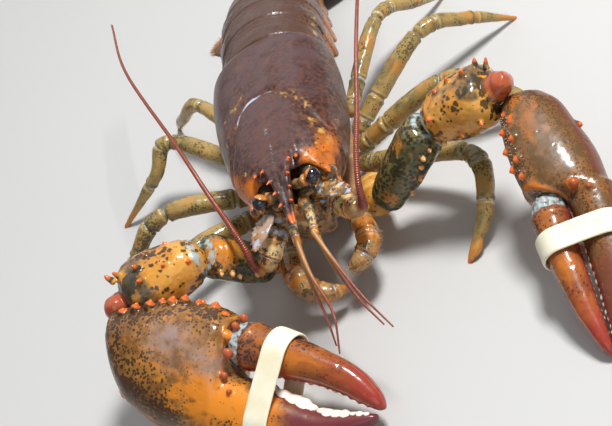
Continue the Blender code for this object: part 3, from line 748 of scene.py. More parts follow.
class LineTree(Board):
    """A geometry tree that starts from open lines, with a wire for each of its named inputs."""

    def __init__(self, name, *inputs):
        super().__init__(bpy.data.node_groups.new(name, "GeometryNodeTree"))
        sockets = self.tree.interface
        sockets.new_socket("Geometry", in_out="INPUT", socket_type="NodeSocketGeometry")
        for label, kind, default in inputs:
            sockets.new_socket(label, in_out="INPUT", socket_type=kind).default_value = default
        sockets.new_socket("Finish", in_out="INPUT", socket_type="NodeSocketMaterial")
        sockets.new_socket("Geometry", in_out="OUTPUT", socket_type="NodeSocketGeometry")
        start = self.add("NodeGroupInput")
        self.inputs = {output.name: Wire(self, output) for output in start.socket.node.outputs}
        self.curve = self.add("GeometryNodeMeshToCurve", None, {"Mesh": start})

    def named(self, attribute, kind):
        return self.add("GeometryNodeInputNamedAttribute", {"data_type": kind},
                        {"Name": attribute}, "Attribute")

    def scattered(self, shape, low, high, seed, turn=(0, 0, 0)):
        """The shape at even steps along the lines, at random sizes between low and high."""
        points = self.add("GeometryNodeCurveToPoints", {"mode": "LENGTH"},
                          {"Curve": self.curve, "Length": self.inputs["Spacing"]})
        size = self.add("FunctionNodeRandomValue", {"data_type": "FLOAT"},
                        {2: low, 3: high, "Seed": seed}, 1)
        return self.add("GeometryNodeInstanceOnPoints", None,
                        {"Points": points, "Instance": shape, "Rotation": turn, "Scale": size})

    def smooth(self, geometry):
        return self.add("GeometryNodeSetShadeSmooth", None, {"Geometry": geometry})

    def run(self, thing, geometry, values):
        """Closes the tree, so that it ends in real meshes with their material, and runs it on an
        object with the given inputs. The result is kept as a plain mesh."""
        real = self.add("GeometryNodeRealizeInstances", None, {"Geometry": geometry})
        painted = self.add("GeometryNodeSetMaterial", None,
                           {"Geometry": real, "Material": self.inputs["Finish"]})
        self.add("NodeGroupOutput", None, {"Geometry": painted})
        modifier = thing.modifiers.new("nodes", "NODES")
        modifier.node_group = self.tree
        for item in self.tree.interface.items_tree:
            if item.in_out == "INPUT" and item.name in values:
                modifier[item.identifier] = values[item.name]
        return plain(thing)


def line_object(name, lines, **attributes):
    """Open lines of drawn points as a mesh of edges in the frame, with values on the points."""
    edges, offset = [], 0
    for line in lines:
        edges += [(offset + n, offset + n + 1) for n in range(len(line) - 1)]
        offset += len(line)
    made = mesh_object(name, placed(np.vstack(lines)), edges, [])
    for label, values in attributes.items():
        values = np.asarray(values, np.float32)
        kind, field = ("FLOAT_VECTOR", "vector") if values.ndim == 2 else ("FLOAT", "value")
        made.data.attributes.new(label, kind, "POINT").data.foreach_set(field, values.ravel())
    return made


def whip(name, path, table, *nodes, ring=None, sides=10, rows=160, foot=0.12):
    """A ringed feeler on a path: a tube whose rings swell and narrow along it."""
    places = np.linspace(0, len(path) - 1, rows)
    share = places / places[-1]
    source = line_object(name, [route(path, places)[0]], thick=eased(table, share)[:, 0] * MM,
                         foot=fade(0, foot, share))
    tree = LineTree("ringed whip", ("Ring length", "NodeSocketFloat", 0.001),
                    ("Ring depth", "NodeSocketFloat", 0.1), ("Sides", "NodeSocketInt", 10))
    length = tree.inputs["Ring length"]
    curve = tree.add("GeometryNodeResampleCurve", {"mode": "LENGTH"},
                     {"Curve": tree.curve, "Length": length / 5})
    reach = tree.add("GeometryNodeSplineParameter", None, None, "Length")
    wave = tree.add("ShaderNodeMath", {"operation": "COSINE"}, {0: (reach / length) * (2 * math.pi)})
    radius = tree.named("thick", "FLOAT") * (1 + wave * tree.inputs["Ring depth"])
    crest = tree.add("GeometryNodeStoreNamedAttribute", {"data_type": "FLOAT", "domain": "POINT"},
                     {"Geometry": curve, "Name": "crest", "Value": wave * 0.5 + 0.5})
    profile = tree.add("GeometryNodeCurvePrimitiveCircle", {"mode": "RADIUS"},
                       {"Resolution": tree.inputs["Sides"], "Radius": 1})
    shaped = tree.add("GeometryNodeCurveToMesh", None,
                      {"Curve": crest, "Profile Curve": profile, "Scale": radius,
                       "Fill Caps": True})
    made = tree.run(source, tree.smooth(shaped), {
        "Ring length": ring or sizes().feeler_ring, "Ring depth": 0.1, "Sides": sides,
        "Finish": material("feeler_skin")})
    hand_over(made, name, "feeler_red", *nodes)


def fringe(piece, slot, lines, leans, spacing, length, thickness, seed):
    """A piece's bristles along drawn lines: thin cones that lean as each line's points say."""
    name = f"{piece}_bristles"
    source = line_object(name, lines, lean=np.vstack(leans))
    tree = LineTree("bristle fringe", ("Spacing", "NodeSocketFloat", 0.0005),
                    ("Length", "NodeSocketFloat", 0.002), ("Thickness", "NodeSocketFloat", 0.0001),
                    ("Seed", "NodeSocketInt", 3))
    stray = tree.add("FunctionNodeRandomValue", {"data_type": "FLOAT_VECTOR"},
                     {0: (-0.28,) * 3, 1: (0.28,) * 3, "Seed": tree.inputs["Seed"]})
    aim = tree.vector("ADD", tree.named("lean", "FLOAT_VECTOR"), {1: stray})
    turn = tree.add("FunctionNodeAlignRotationToVector", {"axis": "Z"}, {"Vector": aim})
    thick = tree.inputs["Thickness"]
    cone = tree.add("GeometryNodeMeshCone", None,
                    {"Vertices": 4, "Side Segments": 2, "Radius Top": thick * 0.12,
                     "Radius Bottom": thick, "Depth": tree.inputs["Length"]})
    hairs = tree.scattered(cone, 0.65, 1.1, tree.inputs["Seed"] + 5, turn)
    made = tree.run(source, hairs, {
        "Spacing": spacing * MM, "Length": length * MM, "Thickness": thickness * MM, "Seed": seed,
        "Finish": material("bristle_hair")})
    points = lifted(vectors_of(made.data.vertices, "co"), 0)
    made.data.vertices.foreach_set("co", points.astype(np.float32).ravel())
    hand_over(made, name, slot)


def bead_row(name, slot, lines, spacing, bead, seed):
    """Beads along drawn lines, each of a random size."""
    tree = LineTree("bead row", ("Spacing", "NodeSocketFloat", 0.001),
                    ("Bead", "NodeSocketFloat", 0.0005), ("Seed", "NodeSocketInt", 7))
    shape = tree.add("GeometryNodeMeshUVSphere", None,
                     {"Segments": 8, "Rings": 5, "Radius": tree.inputs["Bead"]})
    beads = tree.scattered(shape, 0.6, 1.25, tree.inputs["Seed"])
    made = tree.run(line_object(name, lines), tree.smooth(beads), {
        "Spacing": spacing * MM, "Bead": bead, "Seed": seed, "Finish": material("pearl_skin")})
    hand_over(made, name, slot)


# --- carapace ---

# distance ahead of the rear edge, half width, top, underside
SHIELD = (
    (0, 24, 59, 22), (7, 26.3, 61.3, 19), (24, 27.5, 62.5, 17), (44, 26.7, 62.5, 17), (62, 24.3, 61.7, 20),
    (78, 21, 59.7, 24), (90, 17, 56, 28),
)
BEAK = ((0, -74, 56), (0, -88, 56.6), (0, -101, 53.5), (0, -116, 50.5))
BEAK_SIZES = (
    (0, 12, 3), (0.14, 9, 2.9), (0.3, 6, 2.7), (0.45, 4.2, 2.4), (0.62, 3.2, 2.1), (0.8, 2.2, 1.6),
    (1, 0.7, 0.7),
)
# angle round the shield from its side up to the middle of the back, and the groove's place there
NECK_GROOVE = (
    (-20, 82), (-5, 79), (12, 75), (30, 70), (46, 64), (56, 58), (63, 53), (71, 48), (80, 44.6), (85, 43.6),
    (90, 43.4),
)


def shield_points(ahead, angles, shrink=0):
    """Points of the shield's rings: `ahead` of the rear edge, at angles round from the side."""
    half, top, low = (column[:, None] for column in eased(SHIELD, ahead).T)
    half, top, low = half - shrink, top - shrink, low + shrink
    c, s = np.cos(angles)[None, :], np.sin(angles)[None, :]
    widest = low + (top - low) * 0.56
    x = half * np.sign(c) * np.abs(c) ** 0.85 * np.where(s < 0, 1 - 0.3 * np.abs(s), 1)
    z = np.where(s > 0, widest + (top - widest) * s, widest - (widest - low) * np.abs(s) ** 0.6)
    slant = 9 * np.maximum(0, (np.asarray(ahead)[:, None] / 90 - 0.6) / 0.4) ** 2
    y = -np.asarray(ahead, float)[:, None] + slant * (top - z) / (top - low)
    return np.stack((x, y, z), -1)


def shield_line(rows, side):
    """A line on the shield from (angle, place ahead of the rear edge) rows, on one side."""
    rows = np.asarray(rows, float)
    order = np.linspace(0, len(rows) - 1, 90)
    angle = np.interp(order, np.arange(len(rows)), rows[:, 0])
    ahead = np.interp(order, np.arange(len(rows)), rows[:, 1])
    points = np.array([shield_points([a], [math.radians(g)])[0, 0] for a, g in zip(ahead, angle)])
    return points * (side, 1, 1)


def away_from(points, line):
    """Each point's distance from the nearest of a line's points."""
    middle = line.mean(0)
    a, b = points - middle, line - middle
    square = (a**2).sum(1)[:, None] + (b**2).sum(1)[None] - 2 * a @ b.T
    return np.sqrt(np.maximum(square.min(1), 0))


def off_line(points, rows, *sides):
    """Each point's distance from a line drawn on the shield on these sides."""
    return np.min([away_from(points, shield_line(rows, side)) for side in sides], axis=0)


def shield_shell():
    """The closed shield. Its front is hollowed round the eyes and feelers, its rear tucks in."""
    angles = 2 * np.pi * (np.arange(120) + 0.5) / 120
    ahead = np.concatenate(([2.6, 0.6, 0, 0.3], np.linspace(1.2, 89, 120), [89.7, 90, 89.6, 87.5, 84.5]))
    shrink = np.concatenate(([2.6, 1.6, 0.9, 0.25], np.zeros(120), [0.2, 0.8, 1.6, 2.2, 3.2]))
    rings = [shield_points([a], angles, s)[0] for a, s in zip(ahead, shrink)]
    return np.array(rings)


def beak_spines():
    """Root, tip and radius of each spine of the beak and of the shield's front edge."""
    spines = [((out - 1.4, 1.6 - ahead, rise - 0.9), (out + 1, -2.4 - ahead, rise + 1.2), 0.95)
              for ahead, out, rise in ((86, 5.6, 57.6), (93.6, 4, 56.8), (99.6, 3.2, 55.3),
                                       (106.2, 2.2, 53.9))]
    spines += [((8.6, -85.6, 57.2), (8.9, -90.2, 59), 1.25), ((15.6, -85, 47), (17, -90.4, 47.6), 1.5),
               ((15.6, -81, 38), (17.4, -85.6, 37), 1.2)]
    return [(mirrored(root, side), mirrored(tip, side), radius) for side in SIDES
            for root, tip, radius in spines]


def mirrored(point, side):
    """A point or direction of the left side, on that side."""
    return (side * point[0], *point[1:])


def near_spot(points, centre, size):
    """1 at a spot, falling off round it; the size may differ along x, y and z."""
    return np.exp(-(((points - centre) / size) ** 2).sum(1))


def both(points, centre, size):
    """The same spot on both sides."""
    return near_spot(points, centre, size) + near_spot(points, mirrored(centre, -1), size)


def make_carapace():
    """The shield over head and breast, with its beak, spines, groove and rims."""
    spines = beak_spines()
    shells = [shield_shell(), tube(BEAK, 0, 3, BEAK_SIZES, 48, 60, end=0.8)]
    skin = grown("carapace", shells + thorns(spines, curl=0.25), ease=4)
    p = skin.points
    p[:, 1] += 2.6 * both(p, (10.6, -91, 53.6), (3.6, 5, 3.6))
    p[:, 1] -= 3.6 * both(p, (16, -88, 44), (5, 4.5, 7.5))
    skin.write()
    skin.read()
    p = skin.points
    x, y, z = p.T
    upright = smoothstep(-0.3, 0.4, skin.normals[:, 2])
    groove = off_line(p, NECK_GROOVE, LEFT, RIGHT)
    side_groove = off_line(p, ((10, 75), (2, 66), (-6, 56), (-8, 42)), LEFT, RIGHT)
    spine_part = near_thorns(p, spines)
    beak_only = fade(-93, -84, y)
    front = fade(-66, -58, y)
    beak_top = upright * fade(-90, -80, y)
    beak_half = eased([(74, 8), (86, 5.6), (92, 4.4), (99, 3.4), (107, 2.2), (116, 0.7)], -y)[:, 0]
    amount = -1 * bump(groove, 0, 1.7) - 0.35 * bump(side_groove, 0, 1.6)
    amount += 1.1 * both(p, (19, -73, 47), (7, 8, 8)) + 0.6 * both(p, (7, -62, 61), (5, 12, 6))
    amount += 0.5 * both(p, (8.6, -80, 58), (1.6, 7, 3))
    amount -= 0.16 * bump(x, 0, 0.5) * upright * smoothstep(-43.5, -41.5, y)
    amount -= 0.75 * bump(x, 0, 0.34 * beak_half) * beak_top
    amount += 0.3 * bump(np.abs(x), 0.82 * beak_half, 0.22 * beak_half) * beak_top
    amount -= 0.5 * bump(y, -4.4, 0.9) + 0.25 * bump(y, -2.2, 1.3)
    low_edge = z - eased(SHIELD, -y)[:, 2]
    amount += 0.35 * bump(low_edge, 3.5, 1.3) - 0.3 * bump(low_edge, 6.2, 1)
    coarse = lumps(p, 9, 1)
    scar = flecks(p, 2.4, 6, 0.35, 0.8)
    amount += 0.12 * coarse + 0.035 * lumps(p, 2.4, 3) - 0.07 * scar
    amount += 0.07 * lumps(p, 1.1, 2) * smoothstep(0, 0.6, front + both(p, (22, -30, 30), (9, 30, 9)))
    skin.push(amount)
    blotch = lumps(p, 3.4, 4)
    high = smoothstep(49.5, 58, z + 1.6 * coarse + 1.5 * blotch)
    flank = 1 - high
    skin.paint(veil=high * (0.86 + 0.2 * coarse + 0.22 * lumps(p * (1, 0.6, 1), 4, 8)))
    skin.wipe(veil=0.75 * both(p, (17.6, -66, 57), (4.2, 9, 5.5)) * (x > 0))
    skin.wipe(veil=0.45 * flecks(p, 4.2, 7, 0.1, 0.8))
    skin.paint(dark=0.55 + 0.25 * flank)
    for centre, size in (((-17.3, -60.9, 56.6), 4.8), ((-15.4, -69.4, 56.7), 5.4),
                         ((-12.6, -78, 56.8), 4.4), ((13.5, -70, 58), 3.4),
                         ((11.5, -79.5, 58), 3.2), ((22.5, -62, 52), 4)):
        spot = near_spot(p, centre, size)
        skin.paint(dark=spot)
        skin.wipe(veil=0.85 * spot)
    cheek = both(p, (19.5, -79.5, 48), (6, 8.5, 6.5)) + 0.8 * both(p, (12.5, -86.5, 53.5), 4.5)
    cheek += 0.9 * both(p, (15.5, -88, 45), (6, 6, 8))
    cheek += 0.6 * both(p, (23.5, -73, 44), (5, 9, 9)) * (x < 0)
    skin.paint(warm=1.1 * cheek)
    skin.wipe(dark=0.95 * cheek, veil=cheek)
    skin.paint(warm=0.55 * fade(24, 40, z) + 0.35 * flank * front)
    skin.wipe(dark=0.5 * fade(24, 36, z))
    grain = lumps(p * (1, 0.22, 1), 0.9, 14)
    skin.wipe(veil=beak_only * smoothstep(-0.4, 0.4, grain))
    skin.paint(dark=0.95 * beak_only,
               web=[flank * smoothstep(22, 30, z), 0.65 * high * flecks(p, 7, 10, -0.1, 0.6),
                    0.35 * high * front])
    streak = off_line(p, ((74, 47), (60, 56), (46, 66), (34, 75), (20, 80)), LEFT)
    streak = bump(streak, 1, 3) * flecks(p * (1, 0.6, 1), 1.5, 12, -0.5, 0.6)
    skin.paint(pale=0.72 * streak)
    skin.wipe(veil=0.9 * streak)
    ochre = both(p, (24, -62, 46), (6, 22, 9))
    ochre += 0.9 * both(p, (25, -34, 48), (7, 26, 8)) * (x < 0)
    ochre *= flecks(p, 1.8, 37, -0.1, 0.5)
    skin.paint(pale=0.62 * ochre)
    edge = off_line(p, ((76, 36), (62, 46), (50, 54), (36, 62), (20, 68)), RIGHT)
    edge = bump(edge, 1, 4.5) * flecks(p * (1, 0.45, 1), 1.3, 13, -0.2, 0.5)
    skin.paint(pale=0.62 * edge)
    skin.wipe(veil=0.7 * edge)
    for centre, size in (((-13.5, -79.7, 55.8), 1.4), ((-20.6, -71, 50.3), 1.6),
                         ((18.1, -73.8, 53), 1.9), ((17.6, -66.8, 55.4), 1.4),
                         ((-17.5, -43.4, 57.9), 1.4), ((20, -60, 52.5), 1.3),
                         ((22.4, -52, 47.5), 1.3), ((16, -80, 54), 1)):
        spot = near_spot(p, centre, size)
        skin.paint(pale=0.9 * spot)
        skin.wipe(veil=spot)
    # painted highlights: broken bluish-white glints along the neck groove on top of the shield, and a
    # broken bluish streak along the middle of the head's front
    skin.paint(blue=[bump(groove, 0.1, 0.95) * (0.58 + 0.5 * lumps(p, 3.2, 5)) * smoothstep(-15.5, -11.5, x)
                     * fade(2, 9, x) * high, 0.47 * bump(x + 0.8 * lumps(p, 5, 38), 0, 1.8) * upright
                     * fade(-68, -58, y) * flecks(p * (1, 0.3, 1), 1.6, 39, -1, 0.6)],
               red=[0.95 * spine_part, 0.85 * fade(-114, -109, y),
                    0.35 * bump(np.abs(x), 0.9 * beak_half, 0.2 * beak_half) * beak_top
                    * flecks(p, 1.6, 9, -0.1, 0.6)])
    cover(skin, "carapace", "shell", "back_shell", "shell_dark")


# --- mouth, eyes and feelers ---

def make_breast():
    """The plates between the legs, with a raised seam and a notch at each leg."""
    path = ((0, -5, 16), (0, -20, 12.6), (0, -50, 12.6), (0, -76, 17))
    table = ((0, 15, 2.4), (0.25, 18, 3.5), (0.65, 17.4, 3.5), (0.85, 14.5, 3.2), (1, 7.5, 2.4))
    skin = grown("breast", [tube(path, 0, 3, table, 48, 60, power=3.2, inset=0.3)], 0.6)
    x, y, _ = skin.points.T
    under = (skin.normals[:, 2] < 0) * 1
    rows = sum(bump(y, place, 1) for place in (-11, -17, -28.5, -39.5, -52, -62))
    skin.push(under * (0.35 * bump(x, 0, 0.9) - 0.45 * rows) + 0.12 * lumps(skin.points, 2.5, 8))
    skin.paint(warm=0.7 * under * rows, pale=0.6 * flecks(skin.points, 5, 9, 0.1, 0.7))
    finish(skin, "breast_plates", "belly_shell", "mouth_tan", "sternum")


# centre, radius, stretch and axis of each lobe of the face, then root, tip and radius of its spines
LOBES = (
    ((3.1, -96.2, 43.4), 2.6, (1.5, 1, 1), (0, -1, -0.2)),
    ((5.6, -92, 45.2), 3, (1.4, 1.1, 0.9), (1, -0.6, 0.3)),
    ((9.2, -85, 48), 4.2, (1.3, 1.1, 0.95), (0, -1, 0.1)),
    ((15.2, -87.6, 44.6), 3.6, (1.2, 1, 1.2), (0, -1, 0)),
    ((3.4, -86, 22), 3.6, (1.3, 1, 0.8), (0.2, -1, 0.5)), ((8.6, -92.4, 33.2), 2, (1, 1.3, 1), (1, 0, 0)),
)
FACE_SPINES = (
    ((15, -90, 41), (17.4, -95.8, 43.4), 1.2), ((17.5, -89, 37.5), (20.4, -93.5, 38.6), 1.1),
    ((11.5, -92, 41.5), (12.6, -96.6, 44.2), 0.9), ((7.5, -94, 40), (7.9, -97.6, 41.4), 0.7),
)


def make_face():
    """The plate under the eyes, the first joints of the feelers, the lip and the jaws."""
    path = ((0, -78, 19.6), (0, -85, 22.6), (0, -93, 31), (0, -94.5, 43))
    table = ((0, 6, 2.2), (0.35, 7, 3), (0.7, 8, 3.2), (1, 6.6, 2.4))
    shells, spines = [tube(path, 0, 3, table, 36, 50)], []
    girth = pinched(((0, 6, 6), (0.6, 6.6, 6.2), (1, 5.6, 5.4)), (0.62,), 0.16, 0.08, 0.03)
    for side in SIDES:
        base = ((side * 8.5, -81, 41), (side * 10.5, -87, 38.5), (side * 13, -92, 36.8))
        shells.append(tube(base, 0, 2, girth, 40, 50))
        shells += [ball(mirrored(centre, side), radius, stretch, mirrored(axis, side))
                   for centre, radius, stretch, axis in LOBES]
        spines += [(mirrored(root, side), mirrored(tip, side), radius) for root, tip, radius in FACE_SPINES]
    shells += [*thorns(spines), ball((0, -95.6, 36.5), 3.2, (1, 1.2, 0.6), (0, 0.1, 1)),
               thorn((0, -94, 38), (0, -97.4, 39.6), 1)]
    skin = grown("face", shells, 0.36)
    p = skin.points
    # hollow: the lobes round the eye sockets, pushed in and painted dark, a painted shade for the recess
    # round the eyes
    hollow = smoothstep(44.5, 46.5, p[:, 2])
    skin.push(0.3 * lumps(p, 3, 11) + 0.14 * lumps(p, 1.1, 12) - 0.25 * bump(p[:, 0], 0, 0.5)
              + hollow * (0.5 * lumps(p, 3.2, 30) - 0.5))
    skin.paint(blue=0.9 * flecks(p, 2.6, 13, 0.1, 0.5) * bump(p[:, 2], 39.5, 4),
               veil=hollow * flecks(p, 2.2, 20, -0.9, -0.2), dark=hollow)
    base_joint = both(p, (15.6, -89, 44.6), 3.6)
    skin.paint(warm=1.2 * base_joint)
    skin.wipe(veil=0.9 * base_joint)
    skin.paint(pale=0.7 * flecks(p, 4, 14, 0, 0.6), veil=0.9 * flecks(p, 3, 19, -0.2, 0.3),
               dark=0.9 * flecks(p, 2, 18, -0.2, 0.4), warm=0.7 * flecks(p, 3.2, 15, 0, 0.5),
               red=0.9 * near_thorns(p, spines))
    finish(skin, "face_plates", "mouth_shell", "mouth_tan", "jaws")


def make_eye(side):
    word = WORDS[side]
    path = ((side * 2.2, -89, 48.2), (side * 5.2, -92.9, 49.8), (side * 9.2, -94.6, 51.4))
    table = ((0, 2.3, 2.2), (0.5, 2, 1.9), (0.8, 2.5, 2.4), (1, 2.7, 2.6))
    skin, p, _ = limb(f"eyestalk_{word}", path, 0, 2, table, 24, 24, 0.25)
    along = (p - path[1]) @ unit(np.subtract(path[2], path[1]))
    skin.push(0.12 * bump(along, 3.2, 0.5) - 0.18 * bump(along, 0.4, 0.5) + 0.05 * lumps(p, 0.9, 5))
    skin.paint(pale=0.5 * flecks(p, 1.6, 16, -0.5, 0.4), veil=0.85 * flecks(p, 1.4, 17, -0.7, 0.2),
               warm=smoothstep(2.4, 3.4, along))
    cover(skin, f"eyestalk_{word}", "shell", "mouth_shell", "mouth_tan")
    centre = np.array((side * 11.2, -95.2, 52))
    axis = (side * 5, -1.6, 1.4)
    globe = Skin(mesh_of(f"eye_{word}", [ball(centre, 3.1, axis=axis, around=56, rows=40)]))
    outward = (globe.points - centre) @ unit((side * 0.62, -0.3, -0.62))
    globe.paint(warm=fade(-1.9, -1.5, outward))
    cover(globe, f"eye_{word}", "globe", "eye_skin", "eye_black")


STEMS = {
    LEFT: ((13, -91.5, 36.5), (17, -100, 35.5), (22.6, -105.5, 36)),
    RIGHT: ((-13, -92, 36.5), (-17, -100.5, 33.5), (-23, -104.5, 29.4)),
}
FEELERS = {
    LEFT: (
        (22.6, -105.8, 36.2), (24.4, -108, 40.2), (26.4, -106.6, 47), (31, -98, 55), (36, -85, 60),
        (45, -42, 65), (56, 24, 63), (62, 87.4, 50.1),
    ),
    RIGHT: (
        (-23.4, -104.4, 29.8), (-25, -104.6, 35), (-24.2, -104, 42), (-25.4, -97, 50), (-30, -80, 56),
        (-39, -45, 61), (-58, 24, 62), (-69.8, 91.4, 50.1),
    ),
}
SCALES = {
    LEFT: ((9.6, -93.8, 45), (15.6, -99.8, 45.8), (22, -106, 44.8)),
    RIGHT: ((-11, -94, 44.4), (-16.2, -100.6, 43.6), (-21, -106.6, 41)),
}
SPRIGS = {
    LEFT: (
        ((3.6, -113.4, 41.4), (8, -130, 40), (14, -150, 35), (21, -166.6, 28.2)),
        ((4, -113.4, 39), (7, -131, 36.6), (12, -148, 31), (17, -159.6, 25.2)),
    ),
    RIGHT: (
        ((-3.6, -113.4, 41), (-1.5, -132, 39), (1.5, -149, 32), (-2.4, -159.6, 22.3)),
        ((-4.2, -113.4, 38.6), (-3.4, -131, 35.6), (-2.4, -145, 29), (-3.4, -153.6, 21.3)),
    ),
}
JAW_LEGS = {
    LEFT: ((11.5, -76, 18.5), (16, -92, 19.5), (16.5, -104, 19.5), (11, -109.5, 17.5), (5.5, -107, 15)),
    RIGHT: (
        (-11.5, -76, 18.5), (-15.5, -91, 18.5), (-14.5, -104, 16.5), (-6.5, -110.5, 12), (1, -109.5, 9),
    ),
}


def pinched(table, joints, depth=0.24, flare=0.1, narrow=0.012):
    """A limb's size table made denser, with a flare before each joint and a pinch at it."""
    share = np.linspace(0, 1, 161)
    half = eased(table, share)
    factor = np.ones(len(share))
    for joint in joints:
        factor += flare * bump(share, joint - 0.028, 0.022) - depth * bump(share, joint, narrow)
        factor += flare * 0.4 * bump(share, joint + 0.03, 0.022)
    return np.column_stack((share, half * factor[:, None]))


def make_antenna(side):
    """The jointed stem, the leaf-like scale over it and the ringed feeler."""
    name = f"antenna_stem_{WORDS[side]}"
    table = ((0, 5.6, 5.4), (0.35, 5, 4.8), (0.7, 4.2, 4.1), (1, 3.3, 3.3))
    skin, p, share = limb(name, STEMS[side], 0, 2, pinched(table, (0.3, 0.66), 0.2, 0.1, 0.02), 36, 60,
                          0.32)
    skin.push(0.14 * lumps(p, 2.4, 21) + 0.07 * lumps(p, 0.9, 22) - 0.12 * bump(share, 0.48, 0.02)
              - 0.12 * bump(share, 0.56, 0.02))
    end = smoothstep(0.72, 0.8, share)
    skin.paint(blue=[fade(0.2, 0.34, share) * flecks(p, 2, 23, -0.5, 0.3), 0.7 * bump(share, 0.67, 0.02)],
               veil=[0.8 * flecks(p, 1.8, 26, 0.1, 0.6) * (share < 0.34),
                     0.35 * end + 0.7 * bump(share, 0.33, 0.02)],
               pale=[smoothstep(0.3, 0.36, share) * fade(0.6, 0.72, share)
                     * (0.75 + 0.4 * lumps(p, 1.5, 36)),
                     0.6 * smoothstep(0.66, 0.74, share) * flecks(p, 1.4, 46, -0.6, 0.3)],
               warm=[0.9 * bump(share, 0.62, 0.05) + 0.8 * bump(share, 0.5, 0.03),
                     0.8 * flecks(p, 2.2, 35, 0.1, 0.5), 0.3 * end],
               dark=1.2 * flecks(p, 1.6, 34, -0.1, 0.4))
    cover(skin, name, "shell", "mouth_shell", "mouth_tan")
    make_scale(side)
    thick = ((0, 2.3), (0.05, 1.9), (0.15, 1.5), (0.5, 1), (1, 0.45))
    feeler = f"feeler_{WORDS[side]}"
    whip(f"{feeler}_whip", FEELERS[side], thick, feeler, rows=220, sides=12)


def make_scale(side):
    """The toothed leaf over a feeler's stem, with bristles along its inner edge."""
    name, path = f"antenna_scale_{WORDS[side]}", SCALES[side]
    table = ((0, 2.6, 0.8), (0.3, 4, 0.8), (0.55, 3.9, 0.8), (0.85, 2, 0.7), (1, 0.6, 0.5))
    line, ahead, out = rail(path, np.linspace(0.5, 1.85, 6))
    out = out * -side
    wide = eased(table, np.linspace(0.25, 0.92, 6))[:, :1]
    teeth = [(spot - way * 0.2, spot + way * 0.9 + step * 0.9, 0.42)
             for spot, way, step in zip(line + out * wide, out, ahead)]
    leaf, p, share = limb(name, path, 0, 2, table, 32, 40, 0.24, thorns(teeth, around=8, rows=8))
    leaf.push(0.08 * lumps(p, 1.6, 24))
    leaf.paint(rosy=(0.75 if side == RIGHT else 0.1) * flecks(p, 2.4, 25, -0.5, 0.4),
               pale=0.7 * flecks(p, 1.6, 27, -0.2, 0.5),
               veil=(0.9 if side == LEFT else 0.5) * flecks(p, 1.5, 28, -0.5, 0.3),
               dark=0.6 * flecks(p, 1.2, 29, 0, 0.5), red=0.8 * smoothstep(0.9, 0.98, share)
               + 0.9 * near_thorns(p, teeth), blue=0.5 * bump(share, 0.1, 0.1)
               + 0.75 * flecks(p, 1.6, 47, 0, 0.5), warm=0.9 * flecks(p * (1, 0.4, 1), 1.2, 48, 0.05, 0.45))
    cover(leaf, name, "leaf", "mouth_shell", "mouth_tan")
    inner, lean = line - out * wide * 0.95, unit(ahead * 0.7 - out * 0.6)
    fringe(name, "mouth_tan", [inner], [lean], 0.4, 1.8, 0.08, 17)


def make_antennule(side):
    """The small forked feeler under the beak."""
    name = f"antennule_{WORDS[side]}"
    path = ((side * 3.4, -96.4, 43.2), (side * 3.9, -106, 41.6), (side * 3.8, -114.2, 40.2))
    table = pinched(((0, 2.4, 2.2), (0.5, 1.7, 1.7), (1, 1.5, 1.7)), (0.45, 0.75), 0.22, 0.1, 0.02)
    skin, p, share = limb(name, path, 0, 2, table, 28, 50, 0.25)
    skin.push(0.07 * lumps(p, 1.2, 31))
    skin.paint(blue=0.8 * bump(share, 0.46, 0.03) + 0.8 * bump(share, 0.76, 0.03),
               pale=0.7 * flecks(p, 1.8, 32, -0.3, 0.4), veil=0.8 * flecks(p, 2.2, 33, -0.1, 0.5), dark=0.5,
               warm=smoothstep(0.6, 0.9, share))
    cover(skin, name, "stem", "mouth_shell", "mouth_tan")
    thick = ((0, 1.1), (0.15, 0.85), (0.5, 0.62), (1, 0.32))
    for number, sprig in enumerate(SPRIGS[side], 1):
        whip(f"{name}_whip_{number}", sprig, thick, name, ring=0.62 * MM, rows=90, sides=9, foot=0.85)


def make_mouth_leg(side):
    """The bent leg-like mouthpart over the jaws, with bristles along its inner edge."""
    name, path = f"maxilliped_{WORDS[side]}", JAW_LEGS[side]
    table = ((0, 3.2, 3.4), (0.3, 4.4, 4.4), (0.6, 4.4, 4), (0.85, 3, 2.8), (1, 1, 1))
    joints = (0.2, 0.44, 0.66, 0.84)
    skin, p, share = limb(name, path, 0, 4, pinched(table, joints, 0.26, 0.1), 32, 90, 0.36, samples=140)
    skin.push(0.16 * lumps(p, 2.6, 41) + 0.07 * lumps(p, 1, 42))
    patchy = flecks(p, 1.8, 44, -0.5, 0.3)
    for joint in joints:
        skin.paint(blue=0.9 * bump(share, joint, 0.012) * patchy,
                   veil=0.8 * bump(share, joint - 0.03, 0.02) * (1 - patchy * 0.6),
                   pale=0.6 * bump(share, joint + 0.05, 0.03))
    skin.paint(warm=0.85 * flecks(p, 4, 43, -0.2, 0.5), dark=0.7 * flecks(p, 2.6, 45, 0, 0.6),
               red=0.8 * smoothstep(0.9, 1, share))
    cover(skin, name, "shell", "mouth_shell", "mouth_tan")
    places = np.linspace(1.4, 3.9, 26)
    line, ahead, out = rail(path, places)
    half = eased(table, places / 4)[:, :1]
    ways = [unit(out * -side + (0, 0, turn)) for turn in (-0.5, 0.1, 0.7)]
    fringe(name, "mouth_tan", [line + way * half * 0.9 for way in ways],
           [unit(way + ahead * 0.5) for way in ways], 0.5, 2.6, 0.1, 5)


# --- great claws ---

